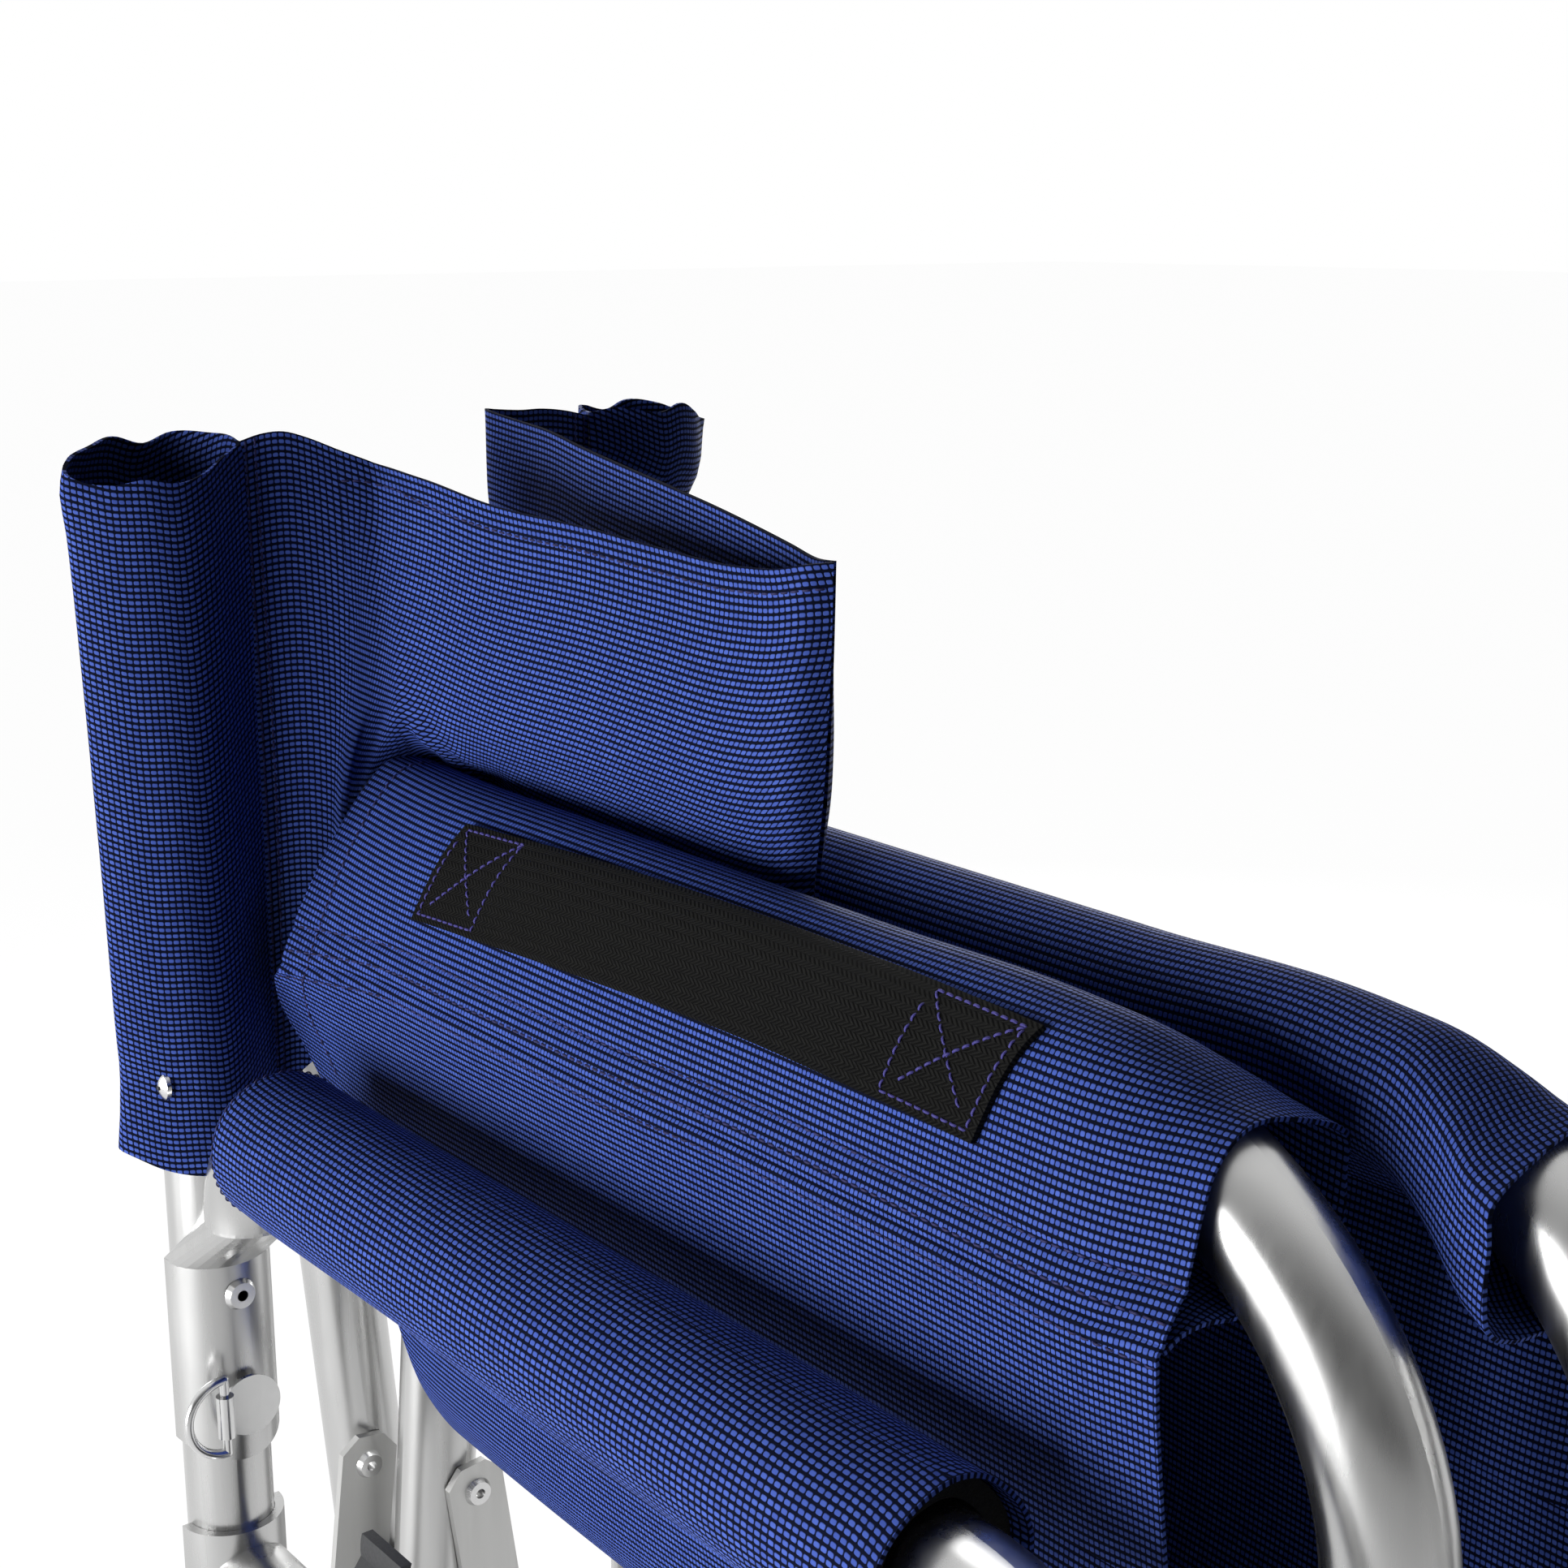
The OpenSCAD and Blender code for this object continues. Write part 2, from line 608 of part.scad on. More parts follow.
// the hems run straight from one staggered side to the other, so the halves meet at the same places
module seat_base(side) {
    hem_front = rail_front_y(-1) - sleeve_over_bend - hoop_stagger / 2;
    hem_rear = rail_rear_y(-1) + 2 - hoop_stagger / 2;
    mid_front = max(hem_front, front_leg_y(-1) + tube_r + gap);
    y0 = rail_front_y(side) - sleeve_over_bend;
    y1 = rail_rear_y(side) + 2;
    intersection() {
        seat_strip(side) ribbon([ahead(corner_at, middle_at, gap + cloth_t / 3), between(corner_at, middle_at, 0.5) + [-2, -2], middle_at], cloth_t);
        translate([0, 0, middle_at[1] - cloth_t]) linear_extrude(corner_at[1] - middle_at[1] + 2 * cloth_t)
            polygon([[corner_at[0] - cloth_t, y0], [0, mid_front], [0, hem_rear], [corner_at[0] - cloth_t, y1]]);
    }
}

// webbing handle, sewn flat on the sleeve's outer face
module handle(side) {
    mid_y = (rail_front_y(side) + rail_rear_y(side)) / 2 - 20;
    face = shifted(sleeve_face, -(cloth_t / 2 + gap + web_t / 2));
    rest = handle_w - norm(face[1] - face[0]);
    last = face[1] + (face[2] - face[1]) * rest / norm(face[2] - face[1]);
    translate([0, mid_y + handle_len / 2, 0]) rotate([90, 0, 0])
        linear_extrude(handle_len) ribbon([face[0], face[1], last], web_t);
}

// The back sling of one side in plan: sleeve on the post, turn over the hoop, panel to the fold.
back_z0 = arm_z - 20;
back_z1 = back_z0 + back_h;
back_low = folded_rail_z + sling_top_r + gap;      // folded, it lies on the seat rails
back_dip = 8;                                    // the free top edge hangs a little lower
stitch_at = [-folded_frame_x + 22, post_y - 8];
knee_at = [-26, post_y - 22];
half_back = open_frame_x - 22 - 0.5;             // from the stitch to the middle of the chair
panel_len = half_back - norm(knee_at - stitch_at);
fold_at = knee_at + [24, -sqrt(panel_len * panel_len - 24 * 24)];
module back_strip(z0, z1) { translate([0, 0, z0]) linear_extrude(z1 - z0) children(); }

module back_sleeve() {
    post_at = [-folded_frame_x, post_y];
    difference() {
        union() {
            back_strip(back_z0, back_z1) translate(post_at) circle(sling_top_r);
            back_strip(back_z0, back_z1)
                ribbon([post_at + [-10, 12], post_at + [-28, 10], post_at + [-15.2, -1]], cloth_t);
            back_strip(back_z0, back_z1)
                ribbon([post_at + [13, 8], stitch_at, post_at + [8, -13.5]], cloth_t);
        }
        translate([post_at[0], post_at[1], back_z0 - 1]) cylinder(r = sleeve_in, h = back_h + 2);
        translate([post_at[0], screw_y, screw_z]) along_x(-40, 0, screw_d / 2 + fit);
    }
}

module back_turn() {
    back_strip(back_low, back_z1 - back_dip)
        ribbon([ahead(stitch_at, knee_at, seam_off), between(stitch_at, knee_at, 0.5) + [0, 2], knee_at], cloth_t);
}

module back_panel() {
    back_strip(back_low, back_z1 - back_dip)
        ribbon([ahead(knee_at, fold_at, seam_off), between(knee_at, fold_at, 0.5) + [2, 0], fold_at], cloth_t);
}

module back_screw() {
    translate([-folded_frame_x - sling_top_r - gap, screw_y, screw_z]) {
        rotate([0, -90, 0]) intersection() {
            cylinder(r = screw_d * 1.2, h = 3);
            translate([0, 0, -5]) sphere(r = 8);
        }
        along_x(-eps, cloth_t + gap + tube_wall + 6, screw_d / 2);
    }
}

// ---- carry ring on its folded sheet clip ----
clip_t = 1.2;
ring_z = arm_z - 99;
eye_r = ring_wire_d / 2 + 0.1;
module ring_clip() {
    plate_y = post_y - saddle_r - rivet_head_t - clip_t - gap;
    translate([-folded_frame_x, 0, ring_z]) difference() {
        union() {
            translate([0, plate_y, 0]) rotate([-90, 0, 0]) cylinder(r = 10, h = clip_t);
            translate([-9.5, plate_y, -7]) cube([9.5, clip_t, 14]);
            translate([-9.5, plate_y - eye_r, -7]) cylinder(r = eye_r + clip_t, h = 14);
        }
        translate([-9.5, plate_y - eye_r, -8]) cylinder(r = eye_r, h = 16);
    }
}

module carry_ring() {
    plate_y = post_y - saddle_r - rivet_head_t - clip_t - gap;
    r = ring_wire_d / 2;
    bar = ring_h / 2 + r;
    translate([-folded_frame_x - 9.5, plate_y - eye_r, ring_z]) {
        translate([0, 0, -bar]) cylinder(r = r, h = 2 * bar);
        rotate([90, 0, 0]) rotate([0, 0, 90]) rotate_extrude(angle = 180) translate([bar, 0]) circle(r);
        for (z = [-bar, bar]) translate([0, 0, z]) sphere(r = r);
    }
}

color(aluminium) sided(-1) back_post();  // left_back_post
color(aluminium) sided(1) back_post();  // right_back_post
color(aluminium) sided(-1) arm_tube();  // left_arm_tube
color(aluminium) sided(1) arm_tube();  // right_arm_tube
color(aluminium) sided(-1) side_rail();  // left_side_rail
color(aluminium) sided(1) side_rail();  // right_side_rail
color(aluminium) sided(-1) lower_rail();  // left_lower_rail
color(aluminium) sided(1) lower_rail();  // right_lower_rail
color(grey_plastic) sided(-1) rail_cradles();  // left_rail_cradles
color(grey_plastic) sided(1) rail_cradles();  // right_rail_cradles
color(grey_plastic) sided(-1) rail_spacers();  // left_rail_spacers
color(grey_plastic) sided(1) rail_spacers();  // right_rail_spacers
color(grey_plastic) sided(-1) post_feet();  // left_post_feet
color(grey_plastic) sided(1) post_feet();  // right_post_feet
color(grey_plastic) sided(-1) post_cap();  // left_post_cap
color(grey_plastic) sided(1) post_cap();  // right_post_cap
color(grey_plastic) sided(-1) rail_plugs();  // left_rail_plugs
color(grey_plastic) sided(1) rail_plugs();  // right_rail_plugs
color(steel) sided(-1) frame_rivets();  // left_frame_rivets
color(steel) sided(1) frame_rivets();  // right_frame_rivets
color(steel) sided(-1) link_bracket(-1);  // left_link_bracket
color(steel) sided(1) link_bracket(1);  // right_link_bracket
color(black_foam) sided(-1) arm_foam();  // left_arm_foam
color(black_foam) sided(1) arm_foam();  // right_arm_foam
color(blue_cloth) sided(-1) arm_cover();  // left_arm_cover
color(blue_cloth) sided(1) arm_cover();  // right_arm_cover
color(steel) sided(-1) back_screw();  // left_back_screw
color(steel) sided(1) back_screw();  // right_back_screw
color(steel) ring_clip();
color(steel) carry_ring();
color(aluminium) sided(-1) hoop(-1);  // left_hoop
color(aluminium) sided(1) hoop(1);  // right_hoop
color(grey_plastic) sided(-1) knuckles(-1);  // left_knuckles
color(grey_plastic) sided(1) knuckles(1);  // right_knuckles
color(grey_plastic) sided(-1) leg_plugs(-1);  // left_leg_plugs
color(grey_plastic) sided(1) leg_plugs(1);  // right_leg_plugs
color(steel) cross_bolts();
color(steel) cross_nuts();
color(grey_plastic) cross_spacers();
color(aluminium) sided(-1) link_bar(-1);  // left_link_bar
color(aluminium) sided(1) link_bar(1);  // right_link_bar
color(steel) sided(-1) link_rivet(-1);  // left_link_rivet
color(steel) sided(1) link_rivet(1);  // right_link_rivet
color(blue_cloth) sided(-1) seat_sleeve(-1);  // left_seat_sleeve
color(blue_cloth) sided(1) seat_sleeve(1);  // right_seat_sleeve
color(blue_cloth) sided(-1) seat_wall(-1);  // left_seat_wall
color(blue_cloth) sided(1) seat_wall(1);  // right_seat_wall
color(blue_cloth) sided(-1) seat_base(-1);  // left_seat_base
color(blue_cloth) sided(1) seat_base(1);  // right_seat_base
color(black_web) sided(-1) handle(-1);  // left_handle
color(black_web) sided(1) handle(1);  // right_handle
color(blue_cloth) sided(-1) back_sleeve();  // left_back_sleeve
color(blue_cloth) sided(1) back_sleeve();  // right_back_sleeve
color(blue_cloth) sided(-1) back_turn();  // left_back_turn
color(blue_cloth) sided(1) back_turn();  // right_back_turn
color(blue_cloth) sided(-1) back_panel();  // left_back_panel
color(blue_cloth) sided(1) back_panel();  // right_back_panel
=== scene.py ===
"""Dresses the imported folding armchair: cloth, pads, webbing, stitching, materials, light and camera."""
import json
import math

import bpy
import numpy as np
from mathutils import Matrix, Vector
from mathutils.bvhtree import BVHTree


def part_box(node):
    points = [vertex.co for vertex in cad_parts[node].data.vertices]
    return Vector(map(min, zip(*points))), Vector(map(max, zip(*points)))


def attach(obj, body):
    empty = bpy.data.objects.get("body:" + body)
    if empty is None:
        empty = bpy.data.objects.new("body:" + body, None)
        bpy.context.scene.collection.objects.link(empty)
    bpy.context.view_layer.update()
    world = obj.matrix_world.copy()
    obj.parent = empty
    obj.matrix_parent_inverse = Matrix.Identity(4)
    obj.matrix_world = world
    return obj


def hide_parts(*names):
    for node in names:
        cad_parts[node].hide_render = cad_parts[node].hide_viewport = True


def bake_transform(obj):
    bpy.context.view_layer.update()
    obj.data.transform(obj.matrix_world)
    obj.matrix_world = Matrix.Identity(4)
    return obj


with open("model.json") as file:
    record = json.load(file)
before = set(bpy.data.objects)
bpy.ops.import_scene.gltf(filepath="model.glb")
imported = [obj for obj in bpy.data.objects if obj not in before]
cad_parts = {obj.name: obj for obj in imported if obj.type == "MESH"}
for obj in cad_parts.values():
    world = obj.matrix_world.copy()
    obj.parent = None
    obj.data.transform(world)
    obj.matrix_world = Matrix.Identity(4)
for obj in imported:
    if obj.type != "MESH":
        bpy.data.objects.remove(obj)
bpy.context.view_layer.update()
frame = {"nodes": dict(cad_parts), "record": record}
NODES = frame["nodes"]
MM = 0.001
SIDES = (("left", 1.0), ("right", -1.0))     # the shapes below are the left ones; the right ones are mirrored in x

# ---- camera and image points ----
POINT_W = POINT_H = 1568.0
LONG_SIDE = max(POINT_W, POINT_H)
CAMERA_AT = Vector((-0.3724, -0.4645, 0.84719))
CAMERA_RIGHT = Vector((0.78328, -0.62166, -0.00144)).normalized()
CAMERA_UP = Vector((0.14783, 0.18401, 0.97174)).normalized()
LENS_MM = 54.0
SENSOR_MM = 36.0

camera_data = bpy.data.cameras.new("camera")
camera_data.sensor_fit = "AUTO"
camera_data.sensor_width = SENSOR_MM
camera_data.lens = LENS_MM
camera_data.clip_start = 0.02
camera_data.clip_end = 50
camera = bpy.data.objects.new("camera", camera_data)
bpy.context.scene.collection.objects.link(camera)
back_axis = CAMERA_RIGHT.cross(CAMERA_UP).normalized()
up_axis = back_axis.cross(CAMERA_RIGHT).normalized()
camera.matrix_world = Matrix.Translation(CAMERA_AT) @ Matrix(
    (CAMERA_RIGHT, up_axis, back_axis)).transposed().to_4x4()
bpy.context.scene.camera = camera

POINTS = {                                   # in the photograph's frame scaled to 1568 px
    "left_edge_x": 57.0,
    "top_edge_y": 398.5,
    "back_fold_top": (833.5, 564.0),
    "near_sleeve_top_right": (283.0, 432.0),
    "far_sleeve_corner": (706.0, 420.0),
    "seat_row_start": (280.8, 963.5),
    "seat_row_end": (1160.8, 1348.6),
    "seat_sleeve_corner": (1347.3, 1133.8),
    "handle_a": (474.8, 827.8),
    "handle_b": (418.0, 917.1),
    "handle_c": (978.0, 1140.3),
    "handle_d": (1041.3, 1030.7),
    "screw": (156.0, 1087.1),
    "upper_rivet": (235.4, 1290.4),
    "lower_rivet": (245.9, 1396.0),
    "bar_rivet": (366.0, 1461.0),
    "far_sleeve_rim_top": (1491.7, 1061.6),
    "pad_rim_right": (1027.5, 1533.9),
}


RAY_STEPS_MM = range(300, 1500, 5)           # distances from the camera that are tried where a ray misses


def image_ray(point):
    """Origin and direction, in metres in the shared frame, of the ray through an image point."""
    x, y = point
    local = Vector((x - POINT_W / 2 + camera_data.shift_x * LONG_SIDE,
                    POINT_H / 2 - y + camera_data.shift_y * LONG_SIDE,
                    -LONG_SIDE * LENS_MM / SENSOR_MM))
    turn = camera.matrix_world.to_3x3()
    return camera.matrix_world.translation.copy(), (turn @ local).normalized()


def place(point, tree):
    """Where the ray through an image point meets a surface, or the surface's nearest place to the ray."""
    origin, along = image_ray(point)
    hit = tree.ray_cast(origin, along)
    if hit[0] is not None:
        return hit[0], hit[1]
    best = None
    for step in RAY_STEPS_MM:
        near = tree.find_nearest(origin + along * (step * MM))
        if near[0] is not None and (best is None or near[3] < best[3]):
            best = near
    return best[0], best[1]


def project(p):
    """A place in metres as an image point; the camera has no shift."""
    local = camera.matrix_world.inverted() @ Vector(p)
    k = LONG_SIDE * LENS_MM / SENSOR_MM / -local.z
    return POINT_W / 2 + local.x * k, POINT_H / 2 - local.y * k


# ---- curves and grids, in millimetres ----
def unit(value):
    """A value held between 0 and 1."""
    return min(max(value, 0.0), 1.0)


def run_along(path):
    """Distance run along a path of points, from its start."""
    return np.concatenate([[0], np.cumsum(np.linalg.norm(np.diff(path, axis=0), axis=1))])


def spline(keys, at, t):
    """Smooth curve through keys given at increasing parameters, read at t."""
    keys, at, t = np.asarray(keys, float), np.asarray(at, float), np.asarray(t, float)
    shape = (-1,) + (1,) * (keys.ndim - 1)
    slope = np.gradient(keys, at, axis=0)
    i = np.clip(np.searchsorted(at, t, side="right") - 1, 0, len(at) - 2)
    h = (at[i + 1] - at[i]).reshape(shape)
    u = (t - at[i]).reshape(shape) / h
    return ((2 * u**3 - 3 * u**2 + 1) * keys[i] + (u**3 - 2 * u**2 + u) * h * slope[i]
            + (3 * u**2 - 2 * u**3) * keys[i + 1] + (u**3 - u**2) * h * slope[i + 1])


def refine(keys, count):
    """count evenly spaced points on the smooth curve through keys."""
    keys = np.asarray(keys, float)
    steps = np.linalg.norm(np.diff(keys, axis=0), axis=1)
    at = np.concatenate([[0], np.cumsum(np.maximum(steps, 1e-6))])
    fine = spline(keys, at, np.linspace(0, at[-1], count * 6))
    run = run_along(fine)
    want = np.linspace(0, run[-1], count)
    return np.stack([np.interp(want, run, fine[:, k]) for k in range(fine.shape[1])], axis=1)


def lengths(grid, axis):
    """Distance run along an axis of a grid of points, from its start."""
    steps = np.linalg.norm(np.diff(grid, axis=axis), axis=2)
    return np.insert(np.cumsum(steps, axis=axis), 0, 0, axis=axis)


def normals(grid, at, axis, sign):
    """Unit normals of a grid, turned so that the one at a row and column points to sign along an axis."""
    n = np.cross(np.gradient(grid, axis=0), np.gradient(grid, axis=1))
    n = n / np.maximum(np.linalg.norm(n, axis=2, keepdims=True), 1e-9)
    return -n if n[at][axis] * sign < 0 else n


def on_side(grid, sign, shift=0.0):
    """A left grid, or its mirror image for the right, moved along y."""
    out = np.array(grid, float)
    out[..., 0] *= sign
    out[..., 1] += shift
    return out


def mirrored(grid, sign, shift=0.0):
    """The same, with the right one's columns turned round so that its faces keep their side."""
    out = on_side(grid, sign, shift)
    return out if sign > 0 else out[:, ::-1]


def mirrored_ring(grid, sign):
    """The same for a closed grid, whose rows are turned round instead."""
    out = on_side(grid, sign)
    return out if sign > 0 else out[::-1]


def link(mesh, name):
    obj = bpy.data.objects.new(name, mesh)
    bpy.context.scene.collection.objects.link(obj)
    return obj


SHARP_DEG = 35


def finished(obj):
    """Applies an object's modifiers to its mesh and shades it smooth but for its sharp edges."""
    bpy.context.view_layer.update()
    done = bpy.data.meshes.new_from_object(obj.evaluated_get(bpy.context.evaluated_depsgraph_get()))
    done.name = obj.name
    obj.modifiers.clear()
    obj.data = done
    done.shade_smooth()
    done.set_sharp_from_angle(angle=math.radians(SHARP_DEG))
    return obj


CLOTH_THICK = 1.1


def grid_mesh(name, grid, material, thick=CLOTH_THICK, zero=(0, 0), closed=False, inward=0.0, run=1.0, lying=False):
    """A sheet over a grid of points (mm), with both faces modelled and its UVs in millimetres of cloth.

    zero is the row and column where the UVs start. run shortens the weave's pitch along the columns, and lying
    swaps the UV pair, so that the weave's thick threads lie along the piece. inward moves the thickness off the grid.
    """
    rows, cols = grid.shape[:2]
    mesh = bpy.data.meshes.new(name)
    face_rows = rows if closed else rows - 1
    faces = [(i * cols + j, i * cols + j + 1, (i + 1) % rows * cols + j + 1, (i + 1) % rows * cols + j)
             for i in range(face_rows) for j in range(cols - 1)]
    mesh.from_pydata((grid.reshape(-1, 3) * MM).tolist(), [], faces)
    u, v = lengths(grid, 0), lengths(grid, 1)
    u -= u[zero[0]]
    v -= v[:, zero[1]][:, None]
    v *= run
    layer = mesh.uv_layers.new(name="cloth_mm")
    last = u[-1] + np.linalg.norm(grid[0] - grid[-1], axis=1)
    values = []
    for a, b, c, d in faces:
        wraps = closed and c // cols == 0
        for k in (a, b, c, d):
            i, j = divmod(k, cols)
            pair = [last[j] if wraps and i == 0 else u[i, j], v[i, j]]
            values += pair[::-1] if lying else pair
    layer.data.foreach_set("uv", values)
    mesh.materials.append(material)
    obj = link(mesh, name)
    wall = obj.modifiers.new("thickness", "SOLIDIFY")
    wall.thickness = thick * MM
    wall.offset = inward
    wall.use_even_offset = True
    return finished(obj)


def ride_with(obj, body):
    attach(obj, body)
    return obj


# ---- materials ----
class Nodes:
    """Short ways to add shader nodes to one material."""

    def __init__(self, name):
        self.material = bpy.data.materials.new(name)
        self.material.use_nodes = True
        self.tree = self.material.node_tree
        self.shader = self.tree.nodes["Principled BSDF"]

    def add(self, kind, **props):
        node = self.tree.nodes.new(kind)
        for key, value in props.items():
            setattr(node, key, value)
        return node

    def wire(self, source, target):
        self.tree.links.new(source, target)

    def math(self, kind, a, b=None):
        node = self.add("ShaderNodeMath", operation=kind)
        for socket, value in zip(node.inputs, (a, b)):
            if value is None:
                continue
            if isinstance(value, (int, float)):
                socket.default_value = value
            else:
                self.wire(value, socket)
        return node.outputs[0]

    def mix(self, factor, a, b):
        node = self.add("ShaderNodeMix", data_type="RGBA")
        for socket, value in zip((node.inputs[0], node.inputs[6], node.inputs[7]), (factor, a, b)):
            if isinstance(value, (int, float)):
                socket.default_value = value
            elif isinstance(value, tuple):
                socket.default_value = (*value, 1)
            else:
                self.wire(value, socket)
        return node.outputs[2]

    def span(self, value, low, high, to_low=0.0, to_high=1.0):
        node = self.add("ShaderNodeMapRange", interpolation_type="SMOOTHSTEP")
        self.wire(value, node.inputs["Value"])
        for key, number in (("From Min", low), ("From Max", high), ("To Min", to_low), ("To Max", to_high)):
            node.inputs[key].default_value = number
        return node.outputs[0]

    def noise(self, scale, detail=2.0, vector=None):
        node = self.add("ShaderNodeTexNoise")
        node.inputs["Scale"].default_value = scale
        node.inputs["Detail"].default_value = detail
        if vector is None:
            vector = self.add("ShaderNodeTexCoord").outputs["Object"]
        self.wire(vector, node.inputs["Vector"])
        return node.outputs[0]

    def cloth_place(self):
        """The two UV coordinates, in millimetres of cloth."""
        axes = self.add("ShaderNodeSeparateXYZ")
        self.wire(self.add("ShaderNodeUVMap", uv_map="cloth_mm").outputs[0], axes.inputs[0])
        return axes.outputs[0], axes.outputs[1]

    def centred(self, value):
        """How far a value lies from the middle of its whole step, 0 to 0.5."""
        return self.math("ABSOLUTE", self.math("SUBTRACT", self.math("FRACT", value), 0.5))

    def bump(self, height, distance, strength):
        node = self.add("ShaderNodeBump")
        node.inputs["Strength"].default_value = strength
        node.inputs["Distance"].default_value = distance
        self.wire(height, node.inputs["Height"])
        self.wire(node.outputs[0], self.shader.inputs["Normal"])

    def set(self, **values):
        for key, value in values.items():
            socket = self.shader.inputs[key.replace("_", " ")]
            socket.default_value = (*value, 1) if isinstance(value, tuple) else value


WEAVE_MM = 1.95                              # pitch of the cloth's dots
DOT_SHAPE = ((1.10, 4.0), (1.46, 3.0))       # how narrow and how square a dot is in u and in v
YARN = (0.0040, 0.0055, 0.017)
DOT_BLUES = (0.047, 0.084, 0.36), (0.082, 0.144, 0.545)


def cloth_material():
    """Coated mesh cloth: a grid of rounded blue dots between thin near-black threads."""
    n = Nodes("blue_mesh_cloth")
    u, v = (n.math("DIVIDE", k, WEAVE_MM) for k in n.cloth_place())
    off = [n.math("POWER", n.math("MULTIPLY", n.math("MULTIPLY", n.centred(k), 2.0), narrow), square)
           for k, (narrow, square) in zip((u, v), DOT_SHAPE)]
    dot = n.span(n.math("ADD", *off), 0.25, 1.05, 1.0, 0.0)
    cell = n.add("ShaderNodeCombineXYZ")
    n.wire(n.math("FLOOR", u), cell.inputs[0])
    n.wire(n.math("FLOOR", v), cell.inputs[1])
    each = n.add("ShaderNodeTexWhiteNoise", noise_dimensions="2D")
    n.wire(cell.outputs[0], each.inputs["Vector"])
    broad = n.noise(9.0, 3.0)
    tone = n.math("ADD", n.math("MULTIPLY", each.outputs[0], 0.55), n.math("MULTIPLY", broad, 0.45))
    n.wire(n.mix(dot, YARN, n.mix(tone, *DOT_BLUES)), n.shader.inputs["Base Color"])
    n.wire(n.span(dot, 0.0, 1.0, 0.8, 0.48), n.shader.inputs["Roughness"])
    n.set(Specular_IOR_Level=0.03)
    n.bump(dot, 0.0005, 0.5)
    return n.material


COLUMN_MM, RIB_MM, RIB_SLANT = 3.1, 1.7, 2.6


def webbing_material():
    """Black webbing: herringbone ribs that turn at each column."""
    n = Nodes("black_webbing")
    u, v = n.cloth_place()
    fold = n.centred(n.math("DIVIDE", u, COLUMN_MM))
    rib = n.math("FRACT", n.math("ADD", n.math("DIVIDE", v, RIB_MM), n.math("MULTIPLY", fold, RIB_SLANT)))
    height = n.math("SINE", n.math("MULTIPLY", rib, math.pi))
    edge = n.span(fold, 0.40, 0.5, 1.0, 0.45)
    shape = n.math("MULTIPLY", height, edge)
    speck = n.noise(900.0, 2.0)
    n.wire(n.mix(n.math("MULTIPLY", shape, speck), (0.002, 0.002, 0.002), (0.014, 0.014, 0.013)),
           n.shader.inputs["Base Color"])
    n.set(Roughness=0.75, Specular_IOR_Level=0.08)
    n.bump(shape, 0.0006, 0.8)
    return n.material


def thread_material(name, colour, high):
    """Matt sewing thread with a fine uneven surface."""
    n = Nodes(name)
    n.wire(n.mix(n.noise(1400.0, 2.0), colour, high), n.shader.inputs["Base Color"])
    n.set(Roughness=0.6, Specular_IOR_Level=0.3)
    n.bump(n.noise(2500.0, 1.0), 0.0001, 0.6)
    return n.material


def metal_material(name, colour, high, rough, grain, stretch=(1, 1, 1), bump=0.00003):
    """Satin metal with fine drawn grain and faint clouding of its gloss."""
    n = Nodes(name)
    where = n.add("ShaderNodeTexCoord").outputs["Object"]
    scaled = n.add("ShaderNodeMapping")
    scaled.inputs["Scale"].default_value = stretch
    n.wire(where, scaled.inputs["Vector"])
    fine = n.noise(grain, 3.0, scaled.outputs[0])
    cloud = n.noise(16.0, 3.0)
    n.wire(n.mix(cloud, colour, high), n.shader.inputs["Base Color"])
    both = n.math("ADD", n.math("MULTIPLY", fine, 0.5), n.math("MULTIPLY", cloud, 0.5))
    n.wire(n.span(both, 0.3, 0.7, rough - 0.05, rough + 0.06), n.shader.inputs["Roughness"])
    n.set(Metallic=1.0)
    n.bump(fine, bump, 0.25)
    return n.material


def solid_material(name, colour, high, rough, grain, bump, spec=0.4):
    """Moulded plastic or foam, clouded in colour and grained in gloss and height."""
    n = Nodes(name)
    fine = n.noise(grain, 4.0)
    n.wire(n.mix(n.noise(30.0, 2.0), colour, high), n.shader.inputs["Base Color"])
    n.wire(n.span(fine, 0.3, 0.7, rough - 0.06, rough + 0.08), n.shader.inputs["Roughness"])
    n.set(Specular_IOR_Level=spec)
    n.bump(fine, bump, 0.5)
    return n.material


CLOTH = cloth_material()
WEBBING = webbing_material()
THREAD = thread_material("dark_blue_thread", (0.010, 0.010, 0.045), (0.026, 0.026, 0.13))
BLUE_THREAD = thread_material("violet_blue_thread", (0.035, 0.030, 0.16), (0.075, 0.065, 0.30))
TUBE = metal_material("satin_aluminium", (0.50, 0.50, 0.497), (0.56, 0.56, 0.556), 0.29, 220.0, (1, 1, 0.08))
BAR = metal_material("brushed_aluminium", (0.50, 0.50, 0.495), (0.56, 0.56, 0.55), 0.42, 420.0, (1, 1, 0.05))
STEEL = metal_material("nickel_steel", (0.60, 0.60, 0.60), (0.68, 0.68, 0.68), 0.20, 300.0)
PLASTIC = solid_material("dark_grey_plastic", (0.020, 0.021, 0.023), (0.030, 0.031, 0.034), 0.5, 900.0, 0.00008)
FOAM = solid_material("black_foam", (0.006, 0.006, 0.006), (0.012, 0.012, 0.012), 0.9, 1500.0, 0.0006, 0.2)
RECESS = solid_material("recess_shadow", (0.02, 0.02, 0.02), (0.04, 0.04, 0.04), 0.6, 800.0, 0.00005)

BY_SLOT = {"tube": TUBE, "bar": BAR, "steel": STEEL, "grey_plastic": PLASTIC, "cloth": CLOTH,
           "webbing": WEBBING, "foam": FOAM}
for part in frame["record"]["subparts"]:
    obj = NODES[part["node"]]
    obj.data.materials.clear()
    obj.data.materials.append(BY_SLOT[part["material_slot"]])


